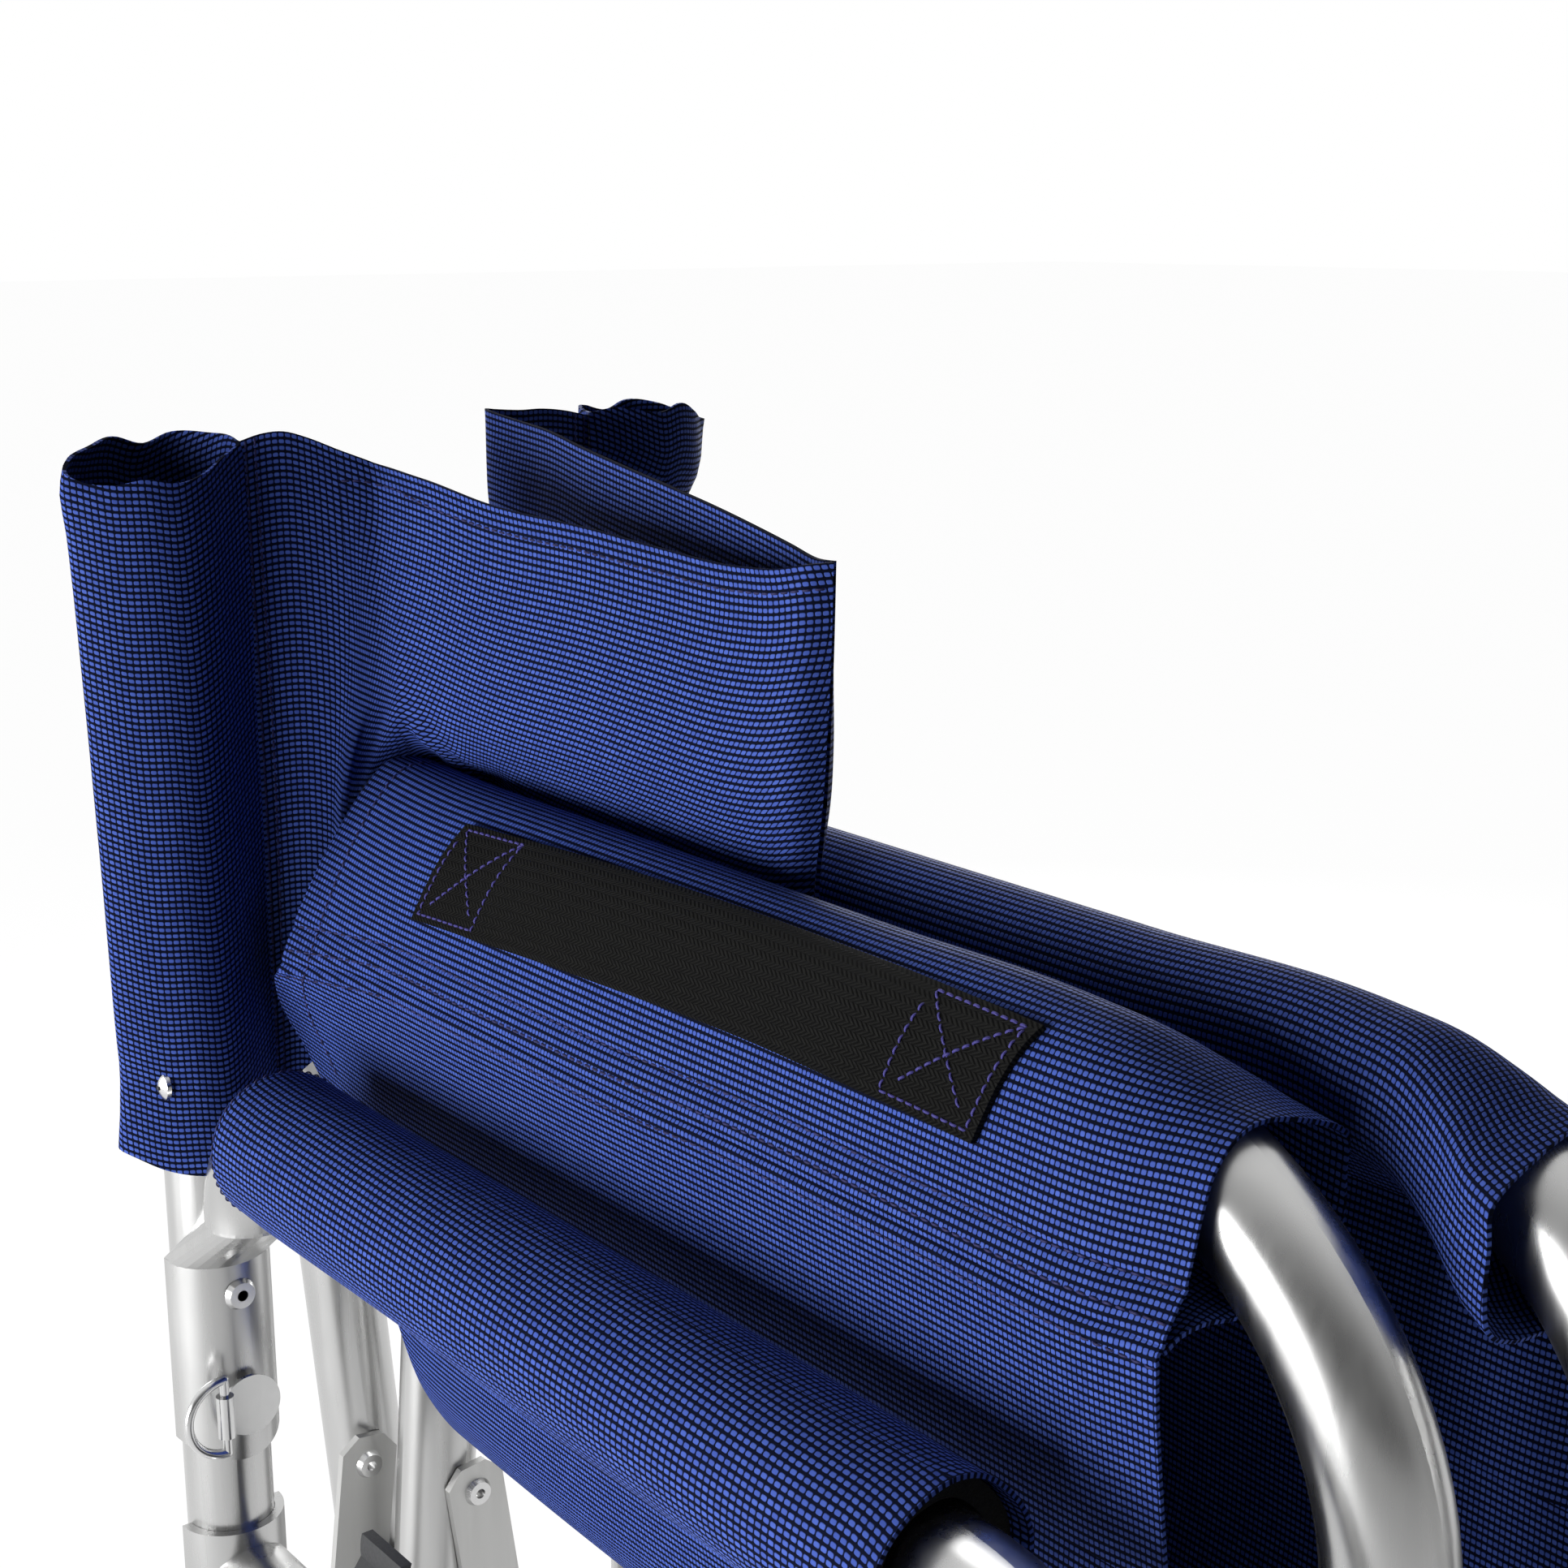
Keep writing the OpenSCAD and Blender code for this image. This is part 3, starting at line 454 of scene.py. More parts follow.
# ---- stitching ----
RINGS, RING_SIDES = 5, 6                     # of one stitch
RING_LIFTS = (-0.9, 0.35, 0.7, 0.35, -0.9)   # in radii of the thread
AHEAD = 0.3                                  # mm along the row that give its direction
ON_CLOTH = 0.62                              # from the middle of the cloth to the thread


def stitch_row(name, path, outward, material, pitch=3.4, gap=0.9, radius=0.32):
    """A row of single stitches on a path (mm): each dips into the cloth at both ends."""
    path, outward = np.asarray(path, float), np.asarray(outward, float)
    run = run_along(path)
    verts, faces = [], []
    for k in range(max(1, int(run[-1] / pitch))):
        for i, s in enumerate(np.linspace(k * pitch + gap / 2, (k + 1) * pitch - gap / 2, RINGS)):
            here = np.array([np.interp(s, run, path[:, c]) for c in range(3)])
            up = np.array([np.interp(s, run, outward[:, c]) for c in range(3)])
            up /= max(np.linalg.norm(up), 1e-9)
            ahead = np.array([np.interp(s + AHEAD, run, path[:, c]) - np.interp(s - AHEAD, run, path[:, c])
                              for c in range(3)])
            across = np.cross(ahead / max(np.linalg.norm(ahead), 1e-9), up)
            lift = radius * RING_LIFTS[i]
            for a in range(RING_SIDES):
                turn = 2 * math.pi * a / RING_SIDES
                verts.append(here + up * (lift + radius * 0.8 * math.sin(turn)) + across * radius * math.cos(turn))
            if i:
                old, new = len(verts) - 2 * RING_SIDES, len(verts) - RING_SIDES
                faces += [(old + a, old + b, new + b, new + a)
                          for a, b in zip(range(RING_SIDES), (*range(1, RING_SIDES), 0))]
        first, last = len(verts) - RINGS * RING_SIDES, len(verts) - RING_SIDES
        faces.append(tuple(range(first + RING_SIDES - 1, first - 1, -1)))
        faces.append(tuple(range(last, last + RING_SIDES)))
    mesh = bpy.data.meshes.new(name)
    mesh.from_pydata((np.array(verts) * MM).tolist(), [], faces)
    mesh.materials.append(material)
    mesh.shade_smooth()
    return link(mesh, name)


def row_on(name, grid, n, where, body):
    """A stitched row on the face of a cloth grid, through the rows and columns that where picks."""
    return ride_with(stitch_row(name, grid[where] + n[where] * ON_CLOTH, n[where], THREAD), body)


# ---- seat sling ----
# Sections of the left seat cloth, (x, z) in mm: from the inner seam under the hoop's rail, up its inner side,
# over the top and down the outer face to the two rows, the seam and the upper wall.
RIM = [(-49.8, 628.2), (-45, 630.4), (-38, 630.8), (-29, 629.2), (-17, 628.0), (-5, 629.6), (2.5, 634), (4.4, 642),
       (4.2, 652), (3.7, 661), (-9, 667), (-22.5, 670.3), (-31, 668.6), (-37.2, 663), (-40.2, 655), (-42.2, 647),
       (-44.4, 639.8), (-50.7, 629.4), (-51.2, 625), (-50.6, 613), (-48.8, 596), (-46, 573)]
BODY = [(-50.2, 628.6), (-44, 635.5), (-36, 643.5), (-29, 648.6), (-21, 649.6), (-13.5, 653.2), (-9.0, 660),
        (-8.0, 667), (-10.0, 674.3), (-15.5, 680), (-23, 682.4), (-31, 680.6), (-37.5, 675.6), (-42, 667.5),
        (-45, 657.5), (-47.2, 647.5), (-49.0, 639), (-52.2, 628.6), (-52.6, 624.5), (-51.2, 612), (-49.5, 596),
        (-47, 573)]
REAR = [(-65, 623), (-55, 628), (-42, 637), (-31, 644), (-21, 647), (-12.5, 651.5), (-7.6, 658), (-5.4, 665),
        (-5.4, 672), (-10, 678.6), (-19, 682), (-27.5, 681.4), (-35, 675), (-43, 665.5), (-50.6, 655),
        (-57.5, 643.5), (-62, 635), (-67, 624), (-67.2, 620), (-63, 609), (-57, 594), (-50.5, 573)]
SLACK_SHARE = np.array([1] + [0] * 12 + [0.3, 0.6, 0.85, 1, 1, 1, 0.8, 0.5, 0.3])
OUTWARD = SLACK_SHARE[:, None] * np.array([-1, 0])                     # how each key moves where the cloth is slack
FRONT_Y, REAR_Y = -178.5, 168.5


def seat_sections():
    """(y, section) pairs of the left seat cloth from its front rim to its rear edge."""
    rim, body, rear = (np.array(k, float) for k in (RIM, BODY, REAR))

    def slack(by):
        return body + OUTWARD * by

    return [(FRONT_Y, rim), (-171, rim * 0.85 + body * 0.15), (-160, rim * 0.5 + body * 0.5),
            (-146, rim * 0.15 + body * 0.85), (-128, body), (-60, slack(0.3)), (0, slack(3.0)), (70, slack(5.2)),
            (125, slack(6.0) * 0.9 + rear * 0.1), (148, slack(6.0) * 0.45 + rear * 0.55),
            (160, rear * 0.85 + body * 0.15), (REAR_Y, rear)]


SEAT_ROWS, SEAT_COLS, WALL_ROWS = 110, 120, 62
SEAT_MIDDLE = (60, 60)                       # a row and column on the outer face
CREST, RIM_CORNER, ROW_ONE, ROW_TWO = 10, 9, 16, 17                     # section keys
BESIDE_ROW_TWO, HEM_ROW = ROW_TWO - 0.35, ROW_TWO + 0.9
RIPPLE, GROOVE = 0.8, 0.8
REAR_FROM_Y, LEAN_BACK, LEAN_IN = 60, 13, 14
FRONT_MID_Y, REAR_MID_Y = -196.5, 139.0      # ends of the base's edge at the middle
BOW = 6                                      # how far the wall and base belly out


def row_of(key):
    """The seat grid's row at a section key."""
    return int(round(key / (len(BODY) - 1) * (SEAT_ROWS - 1)))


def seat_grid(wave):
    """Grid of the left sleeve and upper wall: rows round the hoop's rail, columns from front to rear."""
    sections = seat_sections()
    at = [s[0] for s in sections]
    ys = np.linspace(at[0], at[-1], SEAT_COLS)
    keys = spline(np.stack([s[1] for s in sections]), at, ys)           # columns, keys, 2
    key_of = np.linspace(0, len(BODY) - 1, SEAT_ROWS)
    grid = np.zeros((SEAT_ROWS, SEAT_COLS, 3))
    for j in range(SEAT_COLS):
        line = spline(keys[j], np.arange(len(BODY)), key_of)
        grid[:, j, 0], grid[:, j, 2] = line[:, 0], line[:, 1]
        grid[:, j, 1] = ys[j]
    # soft ripples on the loose outer face, and a rear edge that leans back where the wall starts, then in again
    loose = np.clip((key_of - 12) / 4, 0, 1) * np.clip((21 - key_of) / 3, 0, 1)
    leans_back, leans_in = np.clip((key_of - 17.5) / 2, 0, 1), np.clip((key_of - 19) / 2, 0, 1)
    for j, y in enumerate(ys):
        ripple = 0.7 * math.sin(y / 31 + wave) + 0.45 * math.sin(y / 13.7 + 2 * wave)
        grid[:, j, 0] -= loose * ripple * RIPPLE
        rear = max(0.0, (y - REAR_FROM_Y) / (REAR_Y - REAR_FROM_Y))
        grid[:, j, 1] += leans_back * LEAN_BACK * rear**3
        grid[:, j, 1] -= leans_in * LEAN_IN * rear**3
    for key in (ROW_ONE, ROW_TWO):                                      # the thread draws the cloth in
        grid[row_of(key), :, 0] += GROOVE
    return grid


def wall_grid(upper, wave):
    """Lower wall and base of the left side, from the upper wall's last row down and in to the middle."""
    start = upper[-1]
    keys = []
    for j in range(SEAT_COLS):
        k = j / (SEAT_COLS - 1)
        s = start[j]
        y_mid = FRONT_MID_Y + (REAR_MID_Y - FRONT_MID_Y) * k
        bow = BOW * math.sin(math.pi * k)
        rear = max(0.0, (k - 0.75) / 0.25) ** 2                         # the rear hem comes forward as it goes down
        keys.append([s, (-46.5 - 1.5 * bow / BOW, s[1] - 7 * rear, 551), (-46.5 - 0.3 * bow, s[1] - 15 * rear, 528),
                     (-45.5, s[1] - 24 * rear, 506), (-42.0, s[1] * 0.9 + y_mid * 0.1 - 29 * rear, 487 - bow / 4),
                     (-32, s[1] * 0.6 + y_mid * 0.4 - 26 * rear, 470 - bow / 3),
                     (-15, s[1] * 0.25 + y_mid * 0.75 - 12 * rear, 458 - bow / 4), (-0.4, y_mid, 452)])
    grid = np.stack([refine(column, WALL_ROWS) for column in keys], axis=1)
    grid[0] = start
    loose = np.sin(np.linspace(0, math.pi, WALL_ROWS)) ** 2
    for j in range(SEAT_COLS):
        grid[:, j, 0] -= loose * (RIPPLE * math.sin(grid[10, j, 1] / 37 + wave))
    return grid


STAGGER = 41.0                               # the right hoop and its cloth stand further forward
SEAT_WEAVE = {"run": 1.33, "lying": True}
WALL_X, BASE_REACH = -46, 45.6               # where the base starts, and how far it reaches towards the middle
HEM_ROWS = slice(int(0.30 * SEAT_ROWS), int(0.98 * SEAT_ROWS))
seat_grids, seat_normals, seat_trees = {}, {}, {}
for side, sign in SIDES:
    shift = 0.0 if sign > 0 else -STAGGER
    wave = 0.4 if sign > 0 else 2.1
    upper = seat_grid(wave)
    lower = wall_grid(upper, wave)
    if sign < 0:                              # at the middle both bases end at the same y
        lower[..., 1] += np.clip((lower[..., 0] - WALL_X) / BASE_REACH, 0, 1) * STAGGER
    g_up, g_low = mirrored(upper, sign, shift), mirrored(lower, sign, shift)
    half = SEAT_COLS // 2
    sling = grid_mesh(side + "_seat_sling_upper", g_up, CLOTH, zero=(row_of(CREST), half), **SEAT_WEAVE)
    base = grid_mesh(side + "_seat_sling_lower", g_low, CLOTH, zero=(0, half), **SEAT_WEAVE)
    seat_trees[side] = BVHTree.FromObject(sling, bpy.context.evaluated_depsgraph_get())
    n = normals(g_up, SEAT_MIDDLE, 0, -sign)
    seat_grids[side], seat_normals[side] = g_up, n
    rows = [row_on("%s_seat_%s" % (side, label), g_up, n, row_of(key), side + "_sleeve")
            for label, key in (("row_one", ROW_ONE), ("row_two", BESIDE_ROW_TWO), ("hem_row", HEM_ROW))]
    rear_hem = (HEM_ROWS, -5 if sign > 0 else 4)
    rows.append(row_on(side + "_seat_rear_hem_row", g_up, n, rear_hem, side + "_sleeve"))
    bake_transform(sling)
    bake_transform(base)
    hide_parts(side + "_seat_sleeve", side + "_seat_wall")
    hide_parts(side + "_seat_base")


# ---- handles: the left one's corners are image points, and the right one is its mirror, lower on the cloth ----
def nearest_place(grid, point):
    """Row and column of the grid point nearest a place in mm."""
    gap = np.linalg.norm(grid - np.array(point), axis=2)
    i, j = np.unravel_index(np.argmin(gap), gap.shape)
    return float(i), float(j)


def sample(grid, i, j):
    """A grid's value between its points."""
    i, j = np.clip(i, 0, grid.shape[0] - 1.001), np.clip(j, 0, grid.shape[1] - 1.001)
    a, b = int(i), int(j)
    s, t = i - a, j - b
    return ((1 - s) * (1 - t) * grid[a, b] + s * (1 - t) * grid[a + 1, b]
            + (1 - s) * t * grid[a, b + 1] + s * t * grid[a + 1, b + 1])


HANDLE_CORNERS = ("handle_a", "handle_b", "handle_c", "handle_d")
corners = [nearest_place(seat_grids["left"], np.array(place(POINTS[key], seat_trees["left"])[0]) / MM)
           for key in HANDLE_CORNERS]
HANDLE_ACROSS, HANDLE_ALONG = 17, 80         # points across and along the webbing
HANDLE_THICK, HANDLE_LIFT, HANDLE_BULGE = 1.6, 1.7, 1.8
HANDLE_ARCH, RIGHT_LOWER = 1.6, 5.0          # in rows of the seat grid
SEWN_SHARE, FREE_OVER = 0.10, 0.12           # of the length: sewn at each end, then coming free
SEWN_BOXES = ((0.012, 0.135), (0.865, 0.988))
BOX_SIDES = (0.07, 0.93)
LINE_STEPS = 12                              # places taken along a sewn line
ON_WEBBING = 0.85                            # from the middle of the webbing to the thread


def handle_grid(grid, n, sign):
    """Webbing laid over the sleeve between its four corners, a little proud in the middle where it isn't sewn."""
    a, b, c, d = corners
    out = np.zeros((HANDLE_ACROSS, HANDLE_ALONG, 3))
    nor = np.zeros_like(out)
    for p in range(HANDLE_ACROSS):
        s = p / (HANDLE_ACROSS - 1)
        for q in range(HANDLE_ALONG):
            t = q / (HANDLE_ALONG - 1)
            i = (a[0] * (1 - s) + b[0] * s) * (1 - t) + (d[0] * (1 - s) + c[0] * s) * t
            j = (a[1] * (1 - s) + b[1] * s) * (1 - t) + (d[1] * (1 - s) + c[1] * s) * t
            i += (0 if sign > 0 else RIGHT_LOWER) - HANDLE_ARCH * math.sin(math.pi * t)
            if sign < 0:
                j = grid.shape[1] - 1 - j
            free = np.clip((min(t, 1 - t) - SEWN_SHARE) / FREE_OVER, 0, 1)
            nor[p, q] = sample(n, i, j)
            lift = HANDLE_LIFT + HANDLE_BULGE * free * math.sin(math.pi * s) ** 0.5
            out[p, q] = sample(grid, i, j) + nor[p, q] * lift
    return out, nor


for side, sign in SIDES:
    band, up = handle_grid(seat_grids[side], seat_normals[side], sign)
    obj = grid_mesh(side + "_handle_webbing", band, WEBBING, thick=HANDLE_THICK)
    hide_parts(side + "_handle")
    ride_with(obj, side + "_sleeve")
    left, right = BOX_SIDES
    for end, (lo, hi) in enumerate(SEWN_BOXES):
        box = [(left, lo), (left, hi), (right, hi), (right, lo), (left, lo)]
        for k, line in enumerate((box, [(left, lo), (right, hi)], [(left, hi), (right, lo)])):
            path, out = [], []
            for (s0, t0), (s1, t1) in zip(line[:-1], line[1:]):
                for m in np.linspace(0, 1, LINE_STEPS, endpoint=False):
                    s, t = (s0 + (s1 - s0) * m) * (HANDLE_ACROSS - 1), (t0 + (t1 - t0) * m) * (HANDLE_ALONG - 1)
                    out.append(sample(up, s, t))
                    path.append(sample(band, s, t) + out[-1] * ON_WEBBING)
            row = stitch_row("%s_handle_stitch_%d_%d" % (side, end, k), path, out, BLUE_THREAD,
                             pitch=2.9, gap=0.6, radius=0.36)
            ride_with(row, side + "_sleeve")


# ---- back sling ----
POST_X, STITCH_X = -83.0, -62.5
SLEEVE_KEYS = [  # share of the way out from the stitch, y at mid height
    (0.0, 185.0), (0.15, 181.6), (0.30, 178.2), (0.45, 176.9), (0.62, 178.3), (0.80, 182.8), (0.93, 188.2),
    (1.0, 193.6), (0.95, 199.4), (0.80, 205.6), (0.60, 209.4), (0.42, 210.5), (0.25, 208.6), (0.09, 199.5),
    (0.02, 188.6)]
TOP_Z = {"left": [781, 777.5, 773.5, 771.5, 773, 771.5, 772.5, 774.5, 778.5, 781, 783, 780.5, 783.5, 783.5, 782.5],
         "right": [783.5, 785, 784, 783, 785.5, 782, 779, 778.5, 780, 783.5, 785, 782, 784, 784, 783.5]}
TOP_Y = [1.0, 1.0, 0.8, 0.8, 0.8, 1.0, 1.0, -2, -1, -2.0, -0.4, -2.4, -0.6, -1, 0]
BOTTOM_Z = [577, 569, 562, 557.5, 558.5, 561, 564.5, 566.5, 566, 563, 560, 558, 560, 570, 577]
OUTER = {  # (z, x) of the sleeve's outer side
    "left": [(557, -111.6), (578, -109.9), (594, -109.2), (612, -109.6), (650, -110.2), (700, -111.4), (740, -112.6),
             (758, -113.4), (769, -114.9), (777, -113.2), (783, -110.6)],
    "right": [(557, -105.5), (600, -104.0), (700, -103.4), (742, -103.4), (752, -105), (762, -111.5), (783, -113)]}
SLEEVE_RING = 84
SLEEVE_HEIGHTS = np.concatenate([[0, 0.02, 0.05], np.linspace(0.1, 0.88, 26), [0.91, 0.94, 0.965, 0.985, 1.0]])
SLEEVE_WAVE, RIM_FLARE = 0.9, 0.8
DENT, DENT_RADIUS = 1.5, 9                   # where the screw draws the cloth in


def screw_at(side):
    """Lowest and highest x, and middle y and z, of a side's back screw in metres."""
    low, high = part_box(side + "_back_screw")
    return low[0], high[0], (low[1] + high[1]) / 2, (low[2] + high[2]) / 2


def back_sleeve_grid(side):
    """Closed grid of the sleeve round the left post: rows round it, columns from its lower to its upper rim."""
    grid = np.zeros((SLEEVE_RING, len(SLEEVE_HEIGHTS), 3))
    zs, xs = zip(*OUTER[side])
    for j, h in enumerate(SLEEVE_HEIGHTS):
        keys = []
        top = max(0.0, (h - 0.93) / 0.07)
        flare = max(0.0, (0.06 - h) / 0.06)
        for k, (share, y) in enumerate(SLEEVE_KEYS):
            z = BOTTOM_Z[k] + (TOP_Z[side][k] - BOTTOM_Z[k]) * h
            outer = np.interp(z, zs, xs)
            x = STITCH_X + share * (outer - STITCH_X)
            y += TOP_Y[k] * top**1.5 + (RIM_FLARE if 180 < y < 200 else 0) * flare
            if 2 <= k <= 4:
                y -= 0.25 * (SLEEVE_WAVE * math.sin(z / 29 + k * 0.9) * share * (1 - share) * 3)
            keys.append((x, y, z))
        keys.append(keys[0])
        grid[:, j] = refine(keys, SLEEVE_RING + 1)[:-1]
    y, z = screw_at(side)[2:]
    away = np.hypot(grid[..., 1] - y / MM, grid[..., 2] - z / MM)
    grid[..., 0] += np.where(grid[..., 0] < POST_X - 10, DENT, 0) * np.exp(-(away / DENT_RADIUS) ** 2)
    return grid


BACK_LEFT = [  # columns of the left back cloth from the stitch to the fold, (x, y, z) in mm, top to bottom
    [(-62.5, 186, 781.5), (-62.5, 185.6, 740), (-62.5, 185, 700), (-62.5, 185, 660), (-62.8, 185, 620),
     (-63, 185.6, 578)],
    [(-56, 184.6, 783.5), (-56, 183, 740), (-56, 181.6, 700), (-56.4, 181.6, 660), (-57.2, 182.6, 620),
     (-58.4, 184, 580)],
    [(-50, 182.4, 784), (-49.7, 180, 740), (-49.6, 177.6, 703), (-50.4, 177.4, 665), (-52, 178.6, 625),
     (-54.5, 181, 584)],
    [(-43.5, 180, 782), (-43.2, 176.4, 742), (-43, 173.6, 710), (-44.2, 173.2, 682), (-45.6, 174, 650),
     (-49, 177, 592)],
    [(-35, 176, 778), (-36, 171.4, 742), (-36.8, 169.0, 715), (-38.5, 168.8, 697), (-41, 170.2, 680),
     (-43, 171.6, 655), (-45, 173, 618)],
    [(-30.5, 173.8, 776), (-32.2, 168.6, 742), (-33.4, 166.4, 716), (-35, 166.8, 700), (-37.2, 169.6, 688),
     (-40.3, 171.6, 672), (-41.8, 172, 650)],
    [(-26, 171.5, 774), (-28.6, 165.6, 742), (-30, 163.4, 718), (-31, 164, 703), (-31.6, 167.8, 692),
     (-34.0, 171.0, 681), (-39.0, 171.8, 664)],
    [(-24.2, 162, 772.6), (-27, 158, 742), (-28.2, 156.4, 718), (-27.8, 157.6, 703), (-26.5, 162.4, 692.5),
     (-25.6, 167, 686.5), (-25.6, 170.6, 681), (-27.2, 171.4, 676.5)],
    [(-23.2, 155, 771.6), (-26, 151.5, 742), (-27, 150, 717), (-26, 151, 701.5), (-22.5, 154, 690.5),
     (-15.5, 160.5, 685.6), (-8.2, 166, 679.5), (-4.9, 167, 671)],
    [(-22, 147, 770.5), (-24.8, 144.5, 740), (-25.8, 143.5, 716), (-24, 144.5, 700), (-18.5, 146, 689),
     (-9.8, 147.5, 681), (-6.6, 148, 668), (-6.2, 148, 650)],
    [(-18, 122, 766), (-20.8, 120.5, 738), (-21.8, 119.5, 714), (-19.5, 120.3, 699), (-14, 121.5, 688),
     (-8.2, 122.3, 679.5), (-6.4, 122.5, 667), (-6.2, 122.5, 650)],
    [(-12, 73, 762.5), (-15, 72, 736), (-16.5, 71, 713), (-15, 71.3, 699), (-11, 72.2, 688), (-7.4, 72.8, 679),
     (-6.1, 73, 666), (-5.9, 73, 650)],
    [(-9, 48, 760.2), (-12.2, 47, 735), (-14, 46.2, 713), (-13, 46.5, 699), (-9.6, 47.3, 688), (-6.8, 47.8, 679),
     (-5.8, 48, 666), (-5.6, 48, 650)],
    [(-8.2, 12, 759), (-11, 11, 735), (-12.6, 10.5, 713), (-11.8, 10.5, 699), (-9.0, 11, 688), (-6.5, 11.5, 679),
     (-5.5, 12, 666), (-5.3, 12, 650)],
    [(-8.0, -3, 760.2), (-9.8, -2.5, 735), (-10.8, -1.8, 713), (-10.0, -1, 699), (-7.9, 0, 688), (-5.8, 0.8, 679),
     (-4.9, 1.4, 666), (-4.7, 2, 650)],
    [(-5.6, -11.8, 762), (-6.8, -11.0, 735), (-7.3, -9.6, 713), (-6.8, -8.4, 699), (-5.5, -7.1, 688),
     (-4.2, -6.0, 679), (-3.7, -5.2, 666), (-3.5, -4.4, 650)],
    [(-0.75, -16.0, 762.6), (-0.8, -14.9, 735), (-0.8, -13.2, 713), (-0.8, -11.8, 699), (-0.8, -10.2, 688),
     (-0.8, -8.8, 679), (-0.8, -7.8, 666), (-0.8, -7.0, 650)],
]
FAR_TOP = [  # top of each of the right back cloth's columns, which hang differently from the left ones
    (62.5, 188, 782.5), (54, 188.6, 784.5), (45, 188.4, 785.5), (37, 188, 785.5), (29, 190.2, 786),
    (25.4, 189.6, 786.5), (23, 185.5, 786.5), (22.0, 171, 785), (21.4, 160, 784), (20, 147, 783), (17, 122, 779.5),
    (12.5, 73, 773), (10.5, 48, 769.5), (7.4, 12, 763.5), (5.0, -2, 761.5), (2.8, -9.8, 762), (0.75, -14.4, 762.6)]
KNEE, SPLIT_BEFORE = 6, 12                   # column of the sharp turn, and where the two pieces meet before it
BACK_ROWS, BACK_COLS = 70, 150
RUN_ROW = 8                                  # the row whose length spaces the columns


def back_columns(side):
    """A side's columns of back cloth, written as the left ones."""
    columns = [list(map(list, c)) for c in BACK_LEFT]
    if side == "right":
        for c, top in zip(columns, FAR_TOP):
            old = c[0]
            dx, dy, dz = -top[0] - old[0], top[1] - old[1], top[2] - old[2]
            for k, p in enumerate(c):
                fade = unit((p[2] - 640) / 100)
                hang = 7 * unit((776 - p[2]) / 34) * unit((p[2] - 690) / 50)
                c[k] = [p[0] + dx * fade, p[1] + dy * fade + hang * unit((dy - 2) / 10), p[2] + dz * fade]
    return [refine(c, BACK_ROWS) for c in columns]


def back_grids(side):
    """Outer piece from the stitch to the knee, and inner piece from the knee to the fold."""
    columns = np.array(back_columns(side))                              # columns, rows, 3
    run = run_along(columns[:, RUN_ROW])
    at = np.linspace(0, run[-1], BACK_COLS)
    fine = spline(columns, run, at)
    split = int(np.searchsorted(at, run[KNEE] - SPLIT_BEFORE))
    return fine[:split + 1], fine[split:]


for side, sign in SIDES:
    outer, inner = back_grids(side)
    g_sleeve = mirrored_ring(back_sleeve_grid(side), sign)
    g_outer, g_inner = on_side(outer, sign), on_side(inner, sign)
    tube_piece = grid_mesh(side + "_back_sling_sleeve", g_sleeve, CLOTH, closed=True, zero=(0, 15))
    turn_piece = grid_mesh(side + "_back_sling_outer", g_outer, CLOTH)
    panel_piece = grid_mesh(side + "_back_sling_inner", g_inner, CLOTH)
    n_outer = normals(g_outer, (5, 20), 1, -1)
    rows = [row_on("%s_back_%s_row" % (side, label), g_outer, n_outer, i, side + "_frame")
            for label, i in (("stitch", 1), ("stitch_two", 3))]
    n_inner = normals(g_inner, (30, 20), 0, -sign)
    hem = row_on(side + "_back_hem_row", g_inner, n_inner, (slice(None), 4), side + "_panel")
    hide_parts(side + "_back_sleeve")
    ride_with(tube_piece, side + "_frame")
    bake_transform(turn_piece)
    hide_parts(side + "_back_turn")
    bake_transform(panel_piece)
    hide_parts(side + "_back_panel")


# ---- arm pads ----
PAD_X, PAD_Z = -83.0, 578.589
PAD_FRONT, PAD_REAR, PAD_R = -153.5, 147.5, 22.8
COVER_SHAPE = {"radius": PAD_R, "front": PAD_FRONT, "rear": PAD_REAR, "end_round": 8.0, "hole": 15.0}
FOAM_SHAPE = {"radius": PAD_R - 2.0, "front": PAD_FRONT + 5, "rear": PAD_REAR - 2, "end_round": 6.0, "hole": 14.8}
FOAM_THICK = 5.2
AROUND = 72
PAD_END_ROW, ON_PAD = 8, 0.15                # columns from the rear end, and how proud its thread lies


def pad_grid(phase, radius, front, rear, end_round, hole):
    """Revolved sewn cover about the arm tube, open in front, rounded in behind, with faint lengthwise slack."""
    profile = [(front, radius)] + [(y, radius) for y in np.linspace(front + 4, rear - end_round - 1, 60)]
    profile += [(rear - end_round + end_round * math.sin(a), radius - end_round + end_round * math.cos(a))
                for a in np.linspace(0, math.pi / 2, 9)]
    profile += [(rear - 0.3, hole)] if radius - end_round > hole + 0.3 else []
    grid = np.zeros((AROUND, len(profile), 3))
    for i in range(AROUND):
        turn = 2 * math.pi * i / AROUND
        for j, (y, r) in enumerate(profile):
            full = min(1.0, (rear - y) / 25)
            front_end = max(0.0, 1 - (y - front) / 16)
            slack = 0.35 * math.sin(3 * turn + y / 45 + phase) + 0.25 * math.sin(5 * turn - y / 23)
            grow = full * slack * 0.6 + front_end**2 * (0.5 + 0.5 * math.sin(4 * turn + 1.1)) * 0.7
            sag = 0.6 * max(0.0, -math.cos(turn)) * full
            far = r + grow - 0.5
            grid[i, j] = (PAD_X + far * math.sin(turn), y, PAD_Z + far * math.cos(turn) - sag)
    return grid


